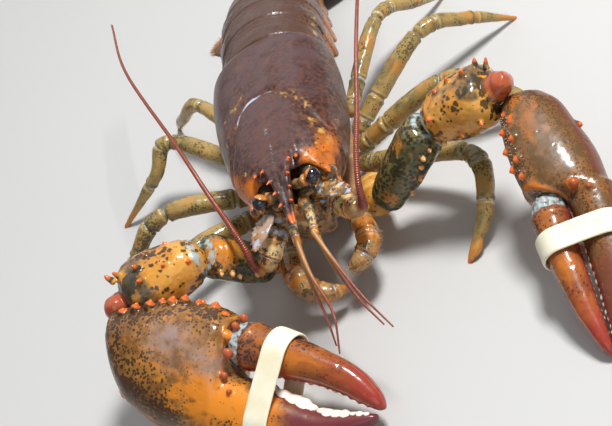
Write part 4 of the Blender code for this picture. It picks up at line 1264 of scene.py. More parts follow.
class Claw:
    """A claw's own frame: along it, towards its thumb, and out of its broad face."""

    def __init__(self, side, heel, tip, face):
        self.heel = np.array(heel, float)
        self.ahead = unit(np.subtract(tip, heel))
        face = np.array(face, float)
        self.face = unit(face - self.ahead * (face @ self.ahead))
        self.thumbward = np.cross(self.ahead, self.face) * side

    def spot(self, place, across, out):
        return self.heel + self.ahead * place + self.thumbward * across + self.face * out

    def spots(self, rows):
        """The centre and radius that each row of a table gives."""
        return [(self.spot(*row[:3]), row[3]) for row in rows]

    def measure(self, points, table):
        """Each point's place along the claw, its way towards the thumb and out of the face, and
        the same two as shares of the finger's own oval."""
        off = points - self.heel
        place, across, out = off @ self.ahead, off @ self.thumbward, off @ self.face
        middle, half, thick = eased(table, place).T
        return place, across, out, (across - middle) / half, out / thick

    def rings(self, table, around, rows, dome=2):
        first, last = table[0][0], table[-1][0]
        share = even_ends(rows)
        place = first + share * (last - first)
        middle, half, thick = eased(table, place).T
        close = rounded(share, last - first, dome, dome)
        centre = self.heel + np.outer(place, self.ahead) + np.outer(middle, self.thumbward)
        return ovals(centre, self.thumbward, self.face, half * close, thick * close, around, 2.3)


CLAWS = {
    RIGHT: Claw(RIGHT, (-86.5, -111, 38.2), (5, -181.5, 8.3), (-0.2, -0.58, 0.79)),
    LEFT: Claw(LEFT, (98.5, -100.5, 43), (86.5, -206, -0.1), (0.16, -0.42, 0.9)),
}
# place along the claw, middle towards the thumb, half width, half thickness
PALMS = {
    RIGHT: (
        (0, 7.5, 5, 5), (3, 5, 9, 8), (8, 1.8, 13.4, 11), (18, -1.2, 19.4, 13.8), (34, -1.9, 23.6, 15.2),
        (46, -2, 24, 15), (54, -3.6, 22.8, 13.8), (58, -12.8, 13.4, 12.4), (70, -13.2, 11.8, 11.4),
        (85, -12.8, 8.9, 9.4), (96, -11.6, 6, 7.2), (106, -8.6, 4.5, 5.2), (112, -5.8, 3.2, 3.8),
        (117.5, -3, 1.5, 1.7),
    ),
    LEFT: (
        (0, 6, 5, 4.6), (3, 5.6, 7.8, 6.6), (9, 4.2, 11.1, 9.2), (18, 3.4, 13, 11), (28, 1.8, 14.4, 12),
        (35, 0.6, 14.8, 12.2), (40, -0.2, 14.6, 12), (45, -1.6, 13.6, 11.2), (48, -8, 9, 10.4),
        (64, -8.4, 8.4, 8.9), (82, -7.4, 7.1, 7.2), (95, -5.6, 5.3, 5.4), (104, -3.4, 3.2, 3.6),
        (109.2, -1.4, 1.3, 1.5),
    ),
}
THUMBS = {
    RIGHT: (
        (54, 11, 6.6, 8), (60, 11, 8.8, 10.2), (72, 10.4, 8.2, 9.4), (84, 10, 7.2, 8.2), (94, 9.1, 6.2, 7),
        (102, 7.8, 5.8, 6), (109, 5.8, 5.1, 5), (115, 3.3, 3.6, 3.6), (119.5, 1, 1.6, 1.8),
    ),
    LEFT: (
        (43.5, 7.8, 5.4, 7), (50, 8, 6.7, 8.5), (66, 7.6, 6.1, 7.6), (84, 6.2, 5, 6.2), (96, 4.4, 3.7, 4.8),
        (104, 3, 2.4, 3.2), (108.6, 1.9, 1, 1.3),
    ),
}
# knobs of the palm's inner edge: place, towards the thumb, out of the face, radius
KNOBS = {
    RIGHT: (
        (8, 12.2, 7.4, 1.7), (14, 15.2, 8.2, 1.8), (20, 17.4, 8.2, 1.9), (23, 19.2, 5, 1.6),
        (28, 20.4, 6, 1.9), (32.5, 22, 5, 1.8), (37.5, 21.8, 3.2, 1.5), (44.5, 21.6, 2.4, 2),
        (36, 21.4, -2, 1.5), (29, 20.4, -1.5, 1.5), (50, 19.6, 3.6, 1.6),
    ),
    LEFT: (
        (9, 12.9, 5.4, 1.5), (12.5, 11, 7.6, 1.5), (16.3, 15, 5.4, 1.8), (21.3, 12.4, 8.6, 1.7),
        (24, 15.8, 4.8, 1.7), (30, 13, 8.2, 1.7), (31.5, 15.2, 4.4, 1.8), (36.5, 12.8, 7.2, 1.8),
    ),
}
HINGES = {
    RIGHT: ((55.8, 12.6, 7.6, 2.5), (55, 14, -8, 3)),
    LEFT: ((47, -2.4, 10, 2.3), (43.5, 10.5, -5, 2.4)),
}
# small red beads beside each hinge: place, towards the thumb, out of the face, radius
HINGE_BEADS = {
    RIGHT: (
        (58.2, 16.8, 8, 1.5), (59.2, 7.2, 11, 1.7), (58.6, -1, 10.4, 1.5), (57, 19.6, 1.5, 1.4),
        (62.5, -6, 11.6, 1.1),
    ),
    LEFT: ((47.4, -3, 11.9, 1.7), (49.8, -7.6, 11, 0.9)),
}
# place and radius of each molar on the fixed finger's inner edge
MOLARS = {
    RIGHT: (
        (66.5, 1.6), (70, 2.2), (74.5, 2.8), (79.5, 3.2), (84.2, 3.6), (88.2, 3.5), (91.6, 2.4), (96, 2),
        (98.8, 2.7), (102.2, 2.6), (105.4, 2.3), (108.4, 1.4), (110.8, 1.6), (113.2, 1.1),
    ),
    LEFT: (
        (58, 0.7), (60.4, 0.9), (63.2, 1.1), (66.2, 0.9), (69, 1.2), (72.2, 1), (75.2, 1.2), (78.4, 1),
        (81.6, 1.2), (84.8, 0.9), (87.6, 1.1), (90.6, 0.9), (93.4, 1), (96.2, 0.8), (98.8, 0.8),
        (101.2, 0.7), (103.4, 0.6),
    ),
}
# spines of the palm's keel: place, towards the thumb, out of the face, radius
KEEL = {RIGHT: ((25, -20.2, 4, 1.5), (13, -15.6, 3.5, 1.2)), LEFT: ((20, -9.4, 3, 1),)}
HINGE_AT = {RIGHT: 55.5, LEFT: 45.6}


def inside_thumb(claw, side, points):
    """1 on the thumb's own oval, more outside it."""
    *_, girth, height = claw.measure(points, THUMBS[side])
    return np.sqrt(girth ** 2 + height ** 2)


def teeth_of(claw, side):
    """The molars of the palm's finger, and the small blunt teeth of the thumb."""
    molars, small = [], []
    for place, radius in MOLARS[side]:
        middle, half, _ = eased(PALMS[side], place)[0]
        molars.append((claw.spot(place, middle + half - radius * 0.4, 1.5), radius))
    step, size = (3.4, 1.5) if side == RIGHT else (2.9, 0.9)
    for number, place in enumerate(np.arange(MOLARS[side][0][0] + 2, MOLARS[side][-1][0], step)):
        middle, half, _ = eased(THUMBS[side], place)[0]
        radius = size * (1, 0.72, 0.88)[number % 3]
        small.append((claw.spot(place, middle - half + radius * 0.55, 0.8), radius))
    return molars, small


def make_palm(side):
    """The swollen palm with its fixed finger: knobs, keel, hinge bosses and teeth."""
    word, claw = CLAW_WORDS[side], CLAWS[side]
    knobs, hinges, beads = (claw.spots(table[side]) for table in (KNOBS, HINGES, HINGE_BEADS))
    push = unit(claw.thumbward * 0.9 + claw.face * 0.35 + claw.ahead * 0.25)
    cones = [(centre - push * 1.2, centre + push * (radius * 1.3), radius) for centre, radius in knobs]
    feet = [(centre - push * 0.8, radius * 1.25) for centre, radius in knobs]
    keel_spines = [(claw.spot(place, *way), claw.spot(place + 1.6, way[0] - 2.9, way[1] + 1.2), radius)
                   for place, *way, radius in KEEL[side]]
    teeth, _ = teeth_of(claw, side)
    shells = [claw.rings(PALMS[side], 96, 150), *thorns(cones + keel_spines)]
    shells += [ball(centre, radius) for centre, radius in hinges + beads + feet]
    shells += [ball(centre, radius, (1.15, 1, 1), claw.ahead) for centre, radius in teeth]
    skin = grown(f"{word}_palm", shells, 0.5, 4)
    p = skin.points
    place, across, out, girth, height = claw.measure(p, PALMS[side])
    fingers = HINGE_AT[side]
    ridge = bump(girth, -1, 0.16) * fade(28, 44, place)
    crease = bump(np.abs(height), 0.3, 0.1) * (girth < -0.5) * (place > fingers + 6)
    knob_part = np.maximum(near_thorns(p, cones),
                           0.9 * near_balls(p, [(centre + push * radius * 0.7, radius)
                                                for centre, radius in knobs], 0.95))
    tooth_part = near_balls(p, teeth)
    collar = bump(inside_thumb(claw, side, p), 1.28, 0.12)
    collar *= smoothstep(fingers - 9, fingers - 3, place)
    collar *= fade(fingers + 2, fingers + 6, place)
    rough = 0.1 * lumps(p, 9, 51) + 0.03 * lumps(p, 3.6, 52) + 0.025 * lumps(p, 1.4, 53)
    pits = -0.1 * flecks(p, 1.6, 54, 0.5, 0.85)
    amount = 0.7 * ridge - 0.35 * crease + 1 * collar + (rough + pits) * (1 - tooth_part)
    edge_grain = smoothstep(0.45, 0.75, girth) * fade(fingers - 4, fingers, place)
    amount += 0.22 * edge_grain * np.maximum(lumps(p, 1.7, 55), 0)
    amount += 0.4 * tooth_part * lumps(p, 2.4, 49)
    skin.push(amount)
    skin.rest()
    finger = smoothstep(fingers + 10, fingers + 44, place)
    noise = lumps(p, 6, 56)
    level = (girth + 1) / 2 + 0.05 * noise
    face_up = smoothstep(-0.35, 0.15, height)
    # sheen is a painted highlight: a pale patch over the middle of the palm's upper face, painted in the
    # film colour, with the speckles wiped from under it
    if side == RIGHT:
        sheen = 1.1 * bump(level, 0.7, 0.2) * bump(place, 36, 13)
        sheen += 0.7 * bump(place, 54, 8) * bump(across, 1.5, 6.5)
        patch = 1.25 * bump(across, -11, 7.5) * smoothstep(30, 58, place + 5 * noise)
        patch *= 0.75 + 0.4 * flecks(p, 2.6, 61, -0.5, 0.4)
        patch *= fade(fingers + 18, fingers + 36, place)
        rim = 1.2 * fade(0.14, 0.46, level) * fade(30, 58, place)
        crowd = 0.42 + 0.34 * smoothstep(0.72, 0.95, level) + 0.34 * bump(place, 6, 16)
    else:
        sheen = 0.75 * bump(level, 0.55, 0.24) * bump(place, 24, 20)
        patch = 0.5 * bump(level, 0.62, 0.26) * bump(place, 14, 12)
        rim = 0.9 * fade(0.04, 0.26, level)
        crowd = 0.3 + 0.3 * bump(place, 6, 10)
    streaky = lumps(np.column_stack((place * 0.3, across, out)), 2.2, 57)
    # painted highlight: the sheen goes into the film mask, on the upper face only
    skin.paint(veil=sheen * (0.85 + 0.3 * lumps(p, 2.2, 50)) * face_up, warm=patch * (0.85 + 0.35 * streaky)
               + (0.35 if side == RIGHT else 0.25) * smoothstep(-0.3, 0.5, streaky) * (1 - finger),
               dark=crowd)
    skin.wipe(dark=0.8 * sheen)
    skin.paint(dark=rim, rosy=(0.75 if side == LEFT else 0.1) * rim)
    skin.wipe(dark=0.45 * patch)
    skin.wipe(dark=0.6 * finger)
    skin.paint(warm=0.75 * (1 - face_up), rosy=finger * (0.8 + 0.25 * noise),
               red=[0.95 * knob_part, 0.9 * near_thorns(p, keel_spines)])
    bead_part = near_balls(p, beads)
    skin.paint(rosy=0.8 * bead_part, red=0.52 * bead_part)
    boss_part = near_balls(p, hinges)
    skin.paint(warm=0.9 * boss_part + (0.35 if side == RIGHT else 0.9) * collar)
    skin.wipe(dark=collar + boss_part)
    skin.paint(rosy=0.55 * boss_part * flecks(p, 1.6, 60, -0.4, 0.3), red=0.35 * ridge * (side == RIGHT))
    gap_side = smoothstep(0.55, 0.95, girth) * smoothstep(fingers + 8, fingers + 16, place)
    skin.paint(pale=0.98 * tooth_part + 0.35 * gap_side * flecks(p, 2, 58, -0.3, 0.4),
               rosy=0.8 * near_balls(p, teeth, 1.45))
    throat = bump(inside_thumb(claw, side, p), 1.1, 0.1) * bump(place, fingers + 1.5, 3)
    throat *= 1 - near_balls(p, hinges + beads, 1.1)
    skin.paint(blue=throat * (0.72 + 0.35 * lumps(p, 1.2, 59)) * face_up)
    skin.wipe(dark=throat, rosy=tooth_part)
    skin.wipe(dark=tooth_part, red=0.8 * tooth_part)
    look = "palm_shell" if side == RIGHT else "cutter_shell"
    cover(skin, f"{word}_palm", "shell", look, "shell_claw")


def make_thumb(side):
    """The claw's moving finger, closed on the other, with its hinge collar and teeth."""
    word, claw = CLAW_WORDS[side], CLAWS[side]
    _, teeth = teeth_of(claw, side)
    shells = [claw.rings(THUMBS[side], 64, 110, dome=3)]
    shells += [ball(centre, radius, (1, 1.1, 1), claw.ahead) for centre, radius in teeth]
    skin = grown(f"{word}_thumb", shells, 0.45, 3)
    p = skin.points
    place, across, out, girth, height = claw.measure(p, THUMBS[side])
    root = HINGE_AT[side]
    tooth_part = near_balls(p, teeth)
    collar = bump(place, root + 8, 1.2)
    throat = fade(root + 5, root + 6.6, place)
    crease = bump(np.abs(height), 0.32, 0.1) * (girth > 0.5) * (place > root + 8)
    tuft = flecks(p, 2, 62, 0.45, 0.8) * (place > root + 8)
    amount = 0.35 * collar - 0.55 * throat + 0.45 * throat * lumps(p, 1.3, 66) - 0.3 * crease - 0.12 * tuft
    amount += (0.14 * lumps(p, 6, 61) + 0.03 * lumps(p, 1.6, 63)) * (1 - tooth_part)
    skin.push(amount)
    skin.rest()
    share = smoothstep(root + 28, root + 62, place + 3 * lumps(p, 4, 60))
    skin.paint(blue=throat * (0.66 + 0.32 * lumps(p, 1, 64)), dark=0.9 * bump(place, root + 6.8, 0.8),
               warm=0.4 * collar + 0.5 * flecks(p, 5, 65, 0, 0.6) * (1 - share))
    streaky = lumps(np.column_stack((place * 0.25, across, out)), 1.8, 69)
    skin.paint(rosy=[share * (0.8 + 0.3 * streaky), 0.8 * bump(girth, -1, 0.3)])
    near_hinge = fade(root + 8, root + 28, place + 4 * lumps(p, 3, 74))
    skin.paint(veil=0.55 * near_hinge,
               dark=[0.6 * near_hinge, (1 - share) * (0.15 + 0.3 * flecks(p, 4, 67, -0.2, 0.5)),
                     0.9 * bump(girth, 1, 0.22) * smoothstep(-0.4, 0.3, streaky), 0.25 * tuft],
               warm=0.6 * bump(girth, 0.1, 0.4) * (1 - 0.6 * share) * smoothstep(-0.3, 0.4, streaky))
    tips = tooth_part * flecks(p, 1.3, 68, -0.5, 0.2)
    skin.paint(pale=0.95 * tips)
    skin.wipe(rosy=0.8 * tips)
    cover(skin, f"{word}_thumb", "shell", "thumb_shell", "shell_claw")


def cutter_pearls():
    """Rows of dark pearly beads between the two rows of the cutter's knobs."""
    claw, lines = CLAWS[LEFT], []
    for lift in (22, 32, 41):
        points = []
        for place in np.linspace(9, 45, 40):
            middle, half, thick = eased(PALMS[LEFT], place)[0]
            angle = math.radians(lift + 3 * math.sin(place * 0.9 + lift))
            points.append(claw.spot(place, middle + half * math.cos(angle) ** (2 / 2.3),
                                    thick * math.sin(angle) ** (2 / 2.3)))
        lines.append(points)
    bead_row("cutter_pearls", "shell_claw", lines, 1.5, sizes().bead, 8)


BAND_AT = {RIGHT: 71.5, LEFT: 60}
BAND_WIDTH, BAND_THICKNESS, BAND_CLEAR = 9, 1.3, 0.7


def band_outline(side, place, clear, count):
    """The loop that a stretched band takes round both fingers at one place."""
    angle = 2 * np.pi * np.arange(count) / count
    c, s = np.cos(angle), np.sin(angle)
    best, loop = np.full(count, -1e9), np.zeros((count, 2))
    for table in (PALMS[side], THUMBS[side]):
        middle, half, thick = eased(table, place)[0]
        half, thick = half + clear, thick + clear
        reach = np.hypot(half * c, thick * s)
        support = middle * c + reach
        spot = np.stack((middle + half**2 * c / reach, thick**2 * s / reach), -1)
        wins = support > best
        loop[wins], best[wins] = spot[wins], support[wins]
    return loop


def evenly(loop, count):
    """A closed loop's points at even steps, and the angle round the loop of each."""
    closed = np.vstack((loop, loop[:1]))
    length = np.r_[0, np.cumsum(np.linalg.norm(np.diff(closed, axis=0), axis=1))]
    even = np.linspace(0, length[-1], count, endpoint=False)
    loop = np.column_stack([np.interp(even, length, closed[:, k]) for k in (0, 1)])
    return loop, 2 * np.pi * even / length[-1]


def make_band(side):
    """A wide rubber band: soft rounded edges, a shallow hollow, and a slight twist of its line."""
    name, claw, rows = f"band_{CLAW_WORDS[side]}", CLAWS[side], []
    for turn in np.linspace(0, 2 * np.pi, 28, endpoint=False):
        across, depth = (math.copysign(abs(way) ** power, way) * size / 2
                         for way, power, size in ((math.cos(turn), 0.35, BAND_WIDTH),
                                                  (math.sin(turn), 0.8, BAND_THICKNESS)))
        hollow = 0.22 * (1 - (2 * across / BAND_WIDTH) ** 2)
        place = BAND_AT[side] + BAND_WIDTH / 2 + across
        clear = BAND_CLEAR + BAND_THICKNESS / 2 + depth - hollow * 0.6
        loop, angle = evenly(band_outline(side, place, clear, 180), 180)
        sway = 0.35 * np.sin(angle * 2 + 0.8)
        rows.append(claw.heel + np.outer(place + sway, claw.ahead) + np.outer(loop[:, 0], claw.thumbward)
                    + np.outer(loop[:, 1], claw.face))
    skin = Skin(hoop(name, lifted(np.array(rows))))
    cover(skin, name, "rubber", "band_rubber", "band_cream")


def hoop(name, grid):
    """A closed ring of loops, joined round both ways."""
    rows, around = grid.shape[:2]
    row, step = np.meshgrid(np.arange(rows), np.arange(around), indexing="ij")
    after, over = (step + 1) % around, (row + 1) % rows
    faces = np.stack((row * around + step, row * around + after, over * around + after,
                      over * around + step), -1).reshape(-1, 4)
    first = grid.reshape(-1, 3)[faces]
    volume = np.einsum("ij,ij->", np.cross(first[:, 0], first[:, 1]), first[:, 2])
    volume += np.einsum("ij,ij->", np.cross(first[:, 0], first[:, 2]), first[:, 3])
    if volume < 0:
        faces = faces[:, ::-1]
    return mesh_object(name, grid.reshape(-1, 3), [], faces.tolist())


# --- arms ---

# hip, thigh joint, elbow and wrist
ARMS = {
    LEFT: ((20.6, -60, 13), (24.5, -83, 16.5), (57, -87, 43), (86.5, -97.5, 50)),
    RIGHT: ((-20.6, -60, 13), (-25, -85, 15.5), (-41, -96, 43.5), (-74.5, -101.5, 45.5)),
}
WRIST_KNOBS = {LEFT: (89.5, -102, 54), RIGHT: (-78, -105, 46.5)}
# tip, length and radius of each spine
WRIST_SPINES = {
    LEFT: (
        ((77.5, -94.6, 60.6), 5, 1.7), ((67, -104.4, 43.8), 5, 1.6), ((58, -96.6, 50.6), 4.4, 1.5),
        ((70.5, -91, 59.6), 4.2, 1.3), ((83, -90, 58.6), 4.2, 1.4), ((87.5, -93, 57.6), 5.5, 1.4),
        ((64.5, -90, 56.6), 3.6, 1.2), ((76, -107.4, 47), 4.6, 1.5),
    ),
    RIGHT: (
        ((-61.6, -102.9, 58), 5, 1.6), ((-61.5, -108.6, 54.8), 4.6, 1.6), ((-43, -103.6, 49), 5, 1.5),
        ((-70.5, -101, 57.6), 4.4, 1.5), ((-75.5, -98.6, 54), 5.5, 1.5), ((-58, -97, 56.6), 4, 1.3),
        ((-52, -104.6, 53), 3.8, 1.3), ((-50, -93, 54.5), 3.4, 1.2),
    ),
}
MERUS_SPINES = {
    LEFT: (
        ((57.8, -93.4, 38.4), 4.6, 1.5), ((53, -97.4, 38.6), 4.2, 1.4), ((49, -97.4, 36), 4.2, 1.4),
        ((46.4, -97.2, 32.4), 4, 1.3), ((43.6, -95.4, 27), 4.2, 1.4), ((37.6, -92.8, 21.4), 3.8, 1.2),
    ),
    RIGHT: (
        ((-36, -106.2, 36.6), 4.4, 1.4), ((-33, -105.6, 33.4), 4, 1.3), ((-31.6, -104, 29.4), 4, 1.3),
        ((-27.6, -98, 24.6), 3.6, 1.2),
    ),
}


def spur(near, path, table, height, radius, lean=0.35):
    """A spine that stands that high out of a limb, on the side where the point `near` lies."""
    line, ahead, sides = rail(path, np.linspace(0, 1, 60))
    nearest = np.linalg.norm(line - near, axis=1).argmin()
    middle, along, side = line[nearest], ahead[nearest], sides[nearest]
    out = near - middle
    out = unit(out - along * (out @ along))
    half_side, half_over = eased(table, nearest / 59)[0]
    reach = 1 / math.hypot(out @ side / half_side, out @ np.cross(side, along) / half_over)
    root = middle + out * (reach - 1)
    return root, root + unit(out + along * lean) * (height + 1), radius


def make_hip(side):
    name = f"{CLAW_WORDS[side]}_hip"
    table = pinched(((0, 5.2, 5), (0.5, 6.6, 6.2), (1, 6.6, 6.4)), (0.3, 0.62), 0.18, 0.08, 0.02)
    skin, p, share = limb(name, ARMS[side][:2], 0, 1, table, 40, 60, 0.5, inset=0.2)
    skin.push(0.2 * lumps(p, 3.5, 71) + 0.08 * lumps(p, 1.3, 72))
    skin.paint(blue=0.9 * bump(share, 0.31, 0.02) + 0.9 * bump(share, 0.63, 0.02),
               warm=0.7 * flecks(p, 5, 73, -0.1, 0.6), pale=0.6 * flecks(p, 4, 74, 0.2, 0.8))
    cover(skin, name, "shell", "wrist_shell", "shell_mottled")


def make_merus(side):
    """The upper arm: a spine row along its lower inner edge and a rim at the elbow."""
    name, path = f"{CLAW_WORDS[side]}_merus", ARMS[side][1:3]
    table = ((0, 5.4, 5.4), (0.15, 7, 7), (0.6, 9.6, 8.4), (0.9, 9.6, 8.4), (0.97, 9.2, 8), (1, 7.8, 6.6))
    spines = [spur(tip, path, table, length * 0.8, radius * 1.15)
              for tip, length, radius in MERUS_SPINES[side]]
    skin, p, share = limb(name, path, 0, 1, table, 56, 70, 0.5, thorns(spines), inset=0.3, power=2.5)
    part = near_thorns(p, spines)
    skin.push(0.4 * bump(share, 0.95, 0.02) - 0.35 * bump(share, 0.89, 0.02) + 0.24 * lumps(p, 5, 81)
              + 0.1 * lumps(p, 1.6, 82) * (1 - part))
    skin.paint(red=part, blue=bump(share, 0.965, 0.02) * (0.7 + 0.45 * lumps(p, 1.6, 83)))
    if side == RIGHT:
        skin.paint(warm=bump(np.linalg.norm(p - (-33, -99.6, 43.3), axis=1), 0, 9),
                   dark=0.5 * flecks(p, 4.5, 84, -0.2, 0.5))
    else:
        skin.paint(pale=0.5 * flecks(p, 2.6, 84, 0, 0.6) * smoothstep(0.2, 0.5, share),
                   dark=0.3 * flecks(p, 5, 80, -0.3, 0.4), warm=0.5 * flecks(p, 6, 85, 0, 0.6))
    cover(skin, name, "shell", "arm_shell", "shell_mottled")


def make_carpus(side):
    """The wrist: blotched, with strong spines, a round knob and a bluish-white rim at the elbow end."""
    name, path = f"{CLAW_WORDS[side]}_carpus", ARMS[side][2:4]
    table = ((0, 5.8, 5.8), (0.2, 10, 9.4), (0.65, 13.2, 11.6), (0.9, 12.4, 10.8), (1, 9.4, 8.4))
    spines = [spur(tip, path, table, length * 0.72, radius * 0.95, 0.5)
              for tip, length, radius in WRIST_SPINES[side]]
    knob = np.array(WRIST_KNOBS[side], float)
    more = [ball(knob, 5.1, (0.92, 1.05, 0.9), (side, 0.3, 0.5), 36, 24),
            ball(knob - (side * 3.2, -2, 2.2), 6, (1.3, 1, 0.95), (side, 0, 0.3), 36, 24)]
    skin, p, share = limb(name, path, 0, 1, table, 72, 80, 0.5, more + thorns(spines), inset=-1)
    part = near_thorns(p, spines)
    away = np.linalg.norm(p - knob, axis=1)
    skin.push(0.3 * lumps(p, 6, 91) + 0.14 * lumps(p, 2.4, 92) - 0.45 * bump(share, 0.12, 0.03)
              + 0.1 * lumps(p, 1.2, 93) * (1 - part) + 0.3 * lumps(p, 2.6, 89) * (away < 8))
    skin.paint(red=part, rosy=(0.9 + 0.25 * lumps(p, 2.2, 97)) * fade(4.8, 8, away),
               dark=[0.45 * flecks(p, 4, 94, 0, 0.4), 0.9 * flecks(p, 7, 98, 0.3, 0.5),
                     0.9 * fade(38, 44, p[:, 2] + lumps(p, 5, 99)), 0.9 * bump(share, 0.97, 0.08)])
    if side == RIGHT:
        skin.paint(dark=0.55 * flecks(p, 3.4, 86, -0.2, 0.3),
                   veil=0.9 * smoothstep(0.45, 0.75, share) * flecks(p, 5, 87, -0.3, 0.4))
    else:
        skin.paint(veil=0.9 * smoothstep(55, 59, p[:, 2] + 3 * lumps(p, 4, 87))
                   * smoothstep(0.2, 0.4, share))
    skin.paint(blue=bump(share, 0.06, 0.05) * (0.7 + 0.45 * lumps(p, 1.6, 95)),
               warm=0.5 * flecks(p, 7, 96, -0.1, 0.5))
    skin.wipe(dark=0.5 * fade(5.4, 6.6, away))
    cover(skin, name, "shell", "wrist_shell", "shell_mottled")


# --- walking legs ---

# hip, knee, ankle and toe of each walking leg, front pair first
LEGS = {
    LEFT: (
        ((19, -45, 12), (62.5, -83, 21), (62.5, -106, 13), (47, -118, 0.1)),
        ((20, -34, 12), (63, -42, 27), (82, -50, 17), (98, -62, 0.1)),
        ((20, -23, 12), (59, -2, 27), (78, 8, 17), (96, 16, 0.1)),
        ((18.8, -11, 13), (44, 26, 26), (59, 42, 15), (71, 60, 0.1)),
    ),
    RIGHT: (
        ((-19, -45, 12), (-59, -62, 23), (-69, -84, 14), (-74, -106, 0.1)),
        ((-20, -34, 12), (-63, -34, 27), (-84, -38, 17), (-103, -47, 0.1)),
        ((-20, -23, 12), (-57, 14, 27), (-71, 10.5, 18), (-97, 13.5, 0.1)),
        ((-18.8, -11, 13), (-42, 32, 25), (-56, 47, 15), (-66, 66, 0.1)),
    ),
}
LEG_THICKNESS = (1, 1, 0.9, 0.8)


def scaled(table, by):
    return tuple((row[0], *(value * by for value in row[1:])) for row in table)


def leg_colours(skin, share, joints, seed):
    p = skin.points
    patchy = flecks(p, 1.8, seed, -0.6, 0.3)
    for joint in joints:
        skin.paint(veil=[0.8 * bump(share, joint - 0.035, 0.024) * (0.4 + 0.6 * patchy),
                         0.45 * bump(share, joint + 0.045, 0.02)],
                   blue=0.9 * bump(share, joint, 0.012) * patchy,
                   pale=0.7 * bump(share, joint + 0.025, 0.018))
    skin.paint(warm=0.55 * flecks(p, 7, seed + 1, 0, 0.7),
               dark=0.15 + 0.45 * flecks(p, 5, seed + 7, -0.1, 0.6),
               pale=0.5 * flecks(p, 5, seed + 2, 0.1, 0.8))
    upper = smoothstep(0.1, 0.8, skin.normals[:, 2])
    skin.paint(veil=0.6 * upper * flecks(p, 6, seed + 8, -0.1, 0.6))


def leg_bristles(piece, path, first, last, radius, seed):
    """Sparse short bristles along four lines of a limb."""
    line, ahead, side = rail(path, np.linspace(first, last, 20))
    over = np.cross(side, ahead)
    off = np.linspace(radius * 0.95, radius * 0.35, 20)[:, None]
    outs = [side * math.cos(turn) + over * math.sin(turn) for turn in (0.3, 1.9, 3.4, 5)]
    fringe(piece, "leg_green", [line + out * off for out in outs],
           [unit(out + ahead * 0.7) for out in outs], 1.1, 1.3, 0.09, seed)


def make_leg(side, index):
    """One walking leg: hip joints and thigh, then shin and foot, each a piece."""
    word, path, by = WORDS[side], LEGS[side][index], LEG_THICKNESS[index]
    seed = 100 + index * 9 + (side > 0) * 50
    table = scaled(((0, 3.8, 3.6), (0.2, 4, 3.8), (0.6, 4.3, 4), (0.93, 3.7, 3.6), (1, 3.4, 3.4)), by)
    joints = (0.13, 0.34)
    name = f"leg_{index + 2}_thigh_{word}"
    skin, p, share = limb(name, path, 0, 1, pinched(table, joints, 0.24, 0.1), 36, 130, 0.42, ease=2,
                          samples=120, inset=-0.5)
    skin.push(0.12 * lumps(p, 3, seed) + 0.06 * lumps(p, 1.2, seed + 3) + 0.16 * bump(share, 0.965, 0.02))
    leg_colours(skin, share, (*joints, 1), seed)
    cover(skin, name, "shell", "leg_shell", "leg_green")

    table = scaled(((0, 3.5, 3.5), (0.14, 3.9, 3.7), (0.35, 3.6, 3.3), (0.65, 3, 2.8), (0.8, 2, 1.9),
                    (1, 0.95, 0.95)), by)
    joints = (0.17, 0.5 if index < 2 else 0.6)
    more = []
    if index < 2:
        ankle, toe = np.array(path[2]), np.array(path[3])
        out = unit(np.cross(UP, unit(toe - ankle)))
        start = ankle + (toe - ankle) * 0.42
        finger = (start, start + (toe - start) * 0.5 + out * 2.4 * by, toe + out * 1.1 + (0, 0, 1))
        more = [tube(finger, 0, 2, scaled(((0, 1.3, 1.3), (0.5, 1.5, 1.5), (1, 0.6, 0.6)), by), 20, 30)]
    name = f"leg_{index + 2}_shin_{word}"
    skin, p, share = limb(name, path, 1, 3, pinched(table, joints, 0.24, 0.1), 32, 110, 0.36, more, ease=2,
                          samples=120, inset=-0.4)
    skin.push(0.1 * lumps(p, 2.6, seed + 5) + 0.05 * lumps(p, 1, seed + 6))
    skin.rest()
    leg_colours(skin, share, (0, *joints), seed + 4)
    skin.paint(warm=0.9 * smoothstep(0.72, 0.9, share), red=0.8 * smoothstep(0.95, 1, share))
    cover(skin, name, "shell", "leg_shell", "leg_green")
    leg_bristles(name, path, 1.7, 2.85, 3 * by, seed)


# --- tail ---

# place along the tail in rings, half width, top, foot of the side flap, underside
TAIL = (
    (0, 21, 56, 27, 33), (1, 23, 56.8, 21, 31), (2, 23.5, 55.5, 17, 29), (3, 23, 52.5, 15, 26),
    (4, 21.5, 47.5, 12.5, 22.5), (5, 20.2, 41, 9.5, 18), (6, 18, 28, 8, 14),
)
TAIL_START, TAIL_RING_LENGTH = 1.2, 16


def tail_outline(place, reach, shrink):
    """A section of the tail: an arch with a flap on each side, hollow underneath."""
    half, top, foot, under = eased(TAIL, place)[0]
    half, top = half - shrink, top - shrink
    foot = under + (foot - under) * reach
    waist, flap = under + 6, 3.2
    angle = np.linspace(0, np.pi, 60)
    arch = np.column_stack((half * np.cos(angle), waist + (top - waist) * np.sin(angle)))
    low = [(-half + 0.6, foot), (-half + flap, foot + 0.4), (-half + flap + 1.4, under),
           (half - flap - 1.4, under), (half - flap, foot + 0.4), (half - 0.6, foot)]
    x, z = evenly(np.vstack((arch, low)), 140)[0].T
    return np.column_stack((x, np.full(140, TAIL_START + place * TAIL_RING_LENGTH), z))


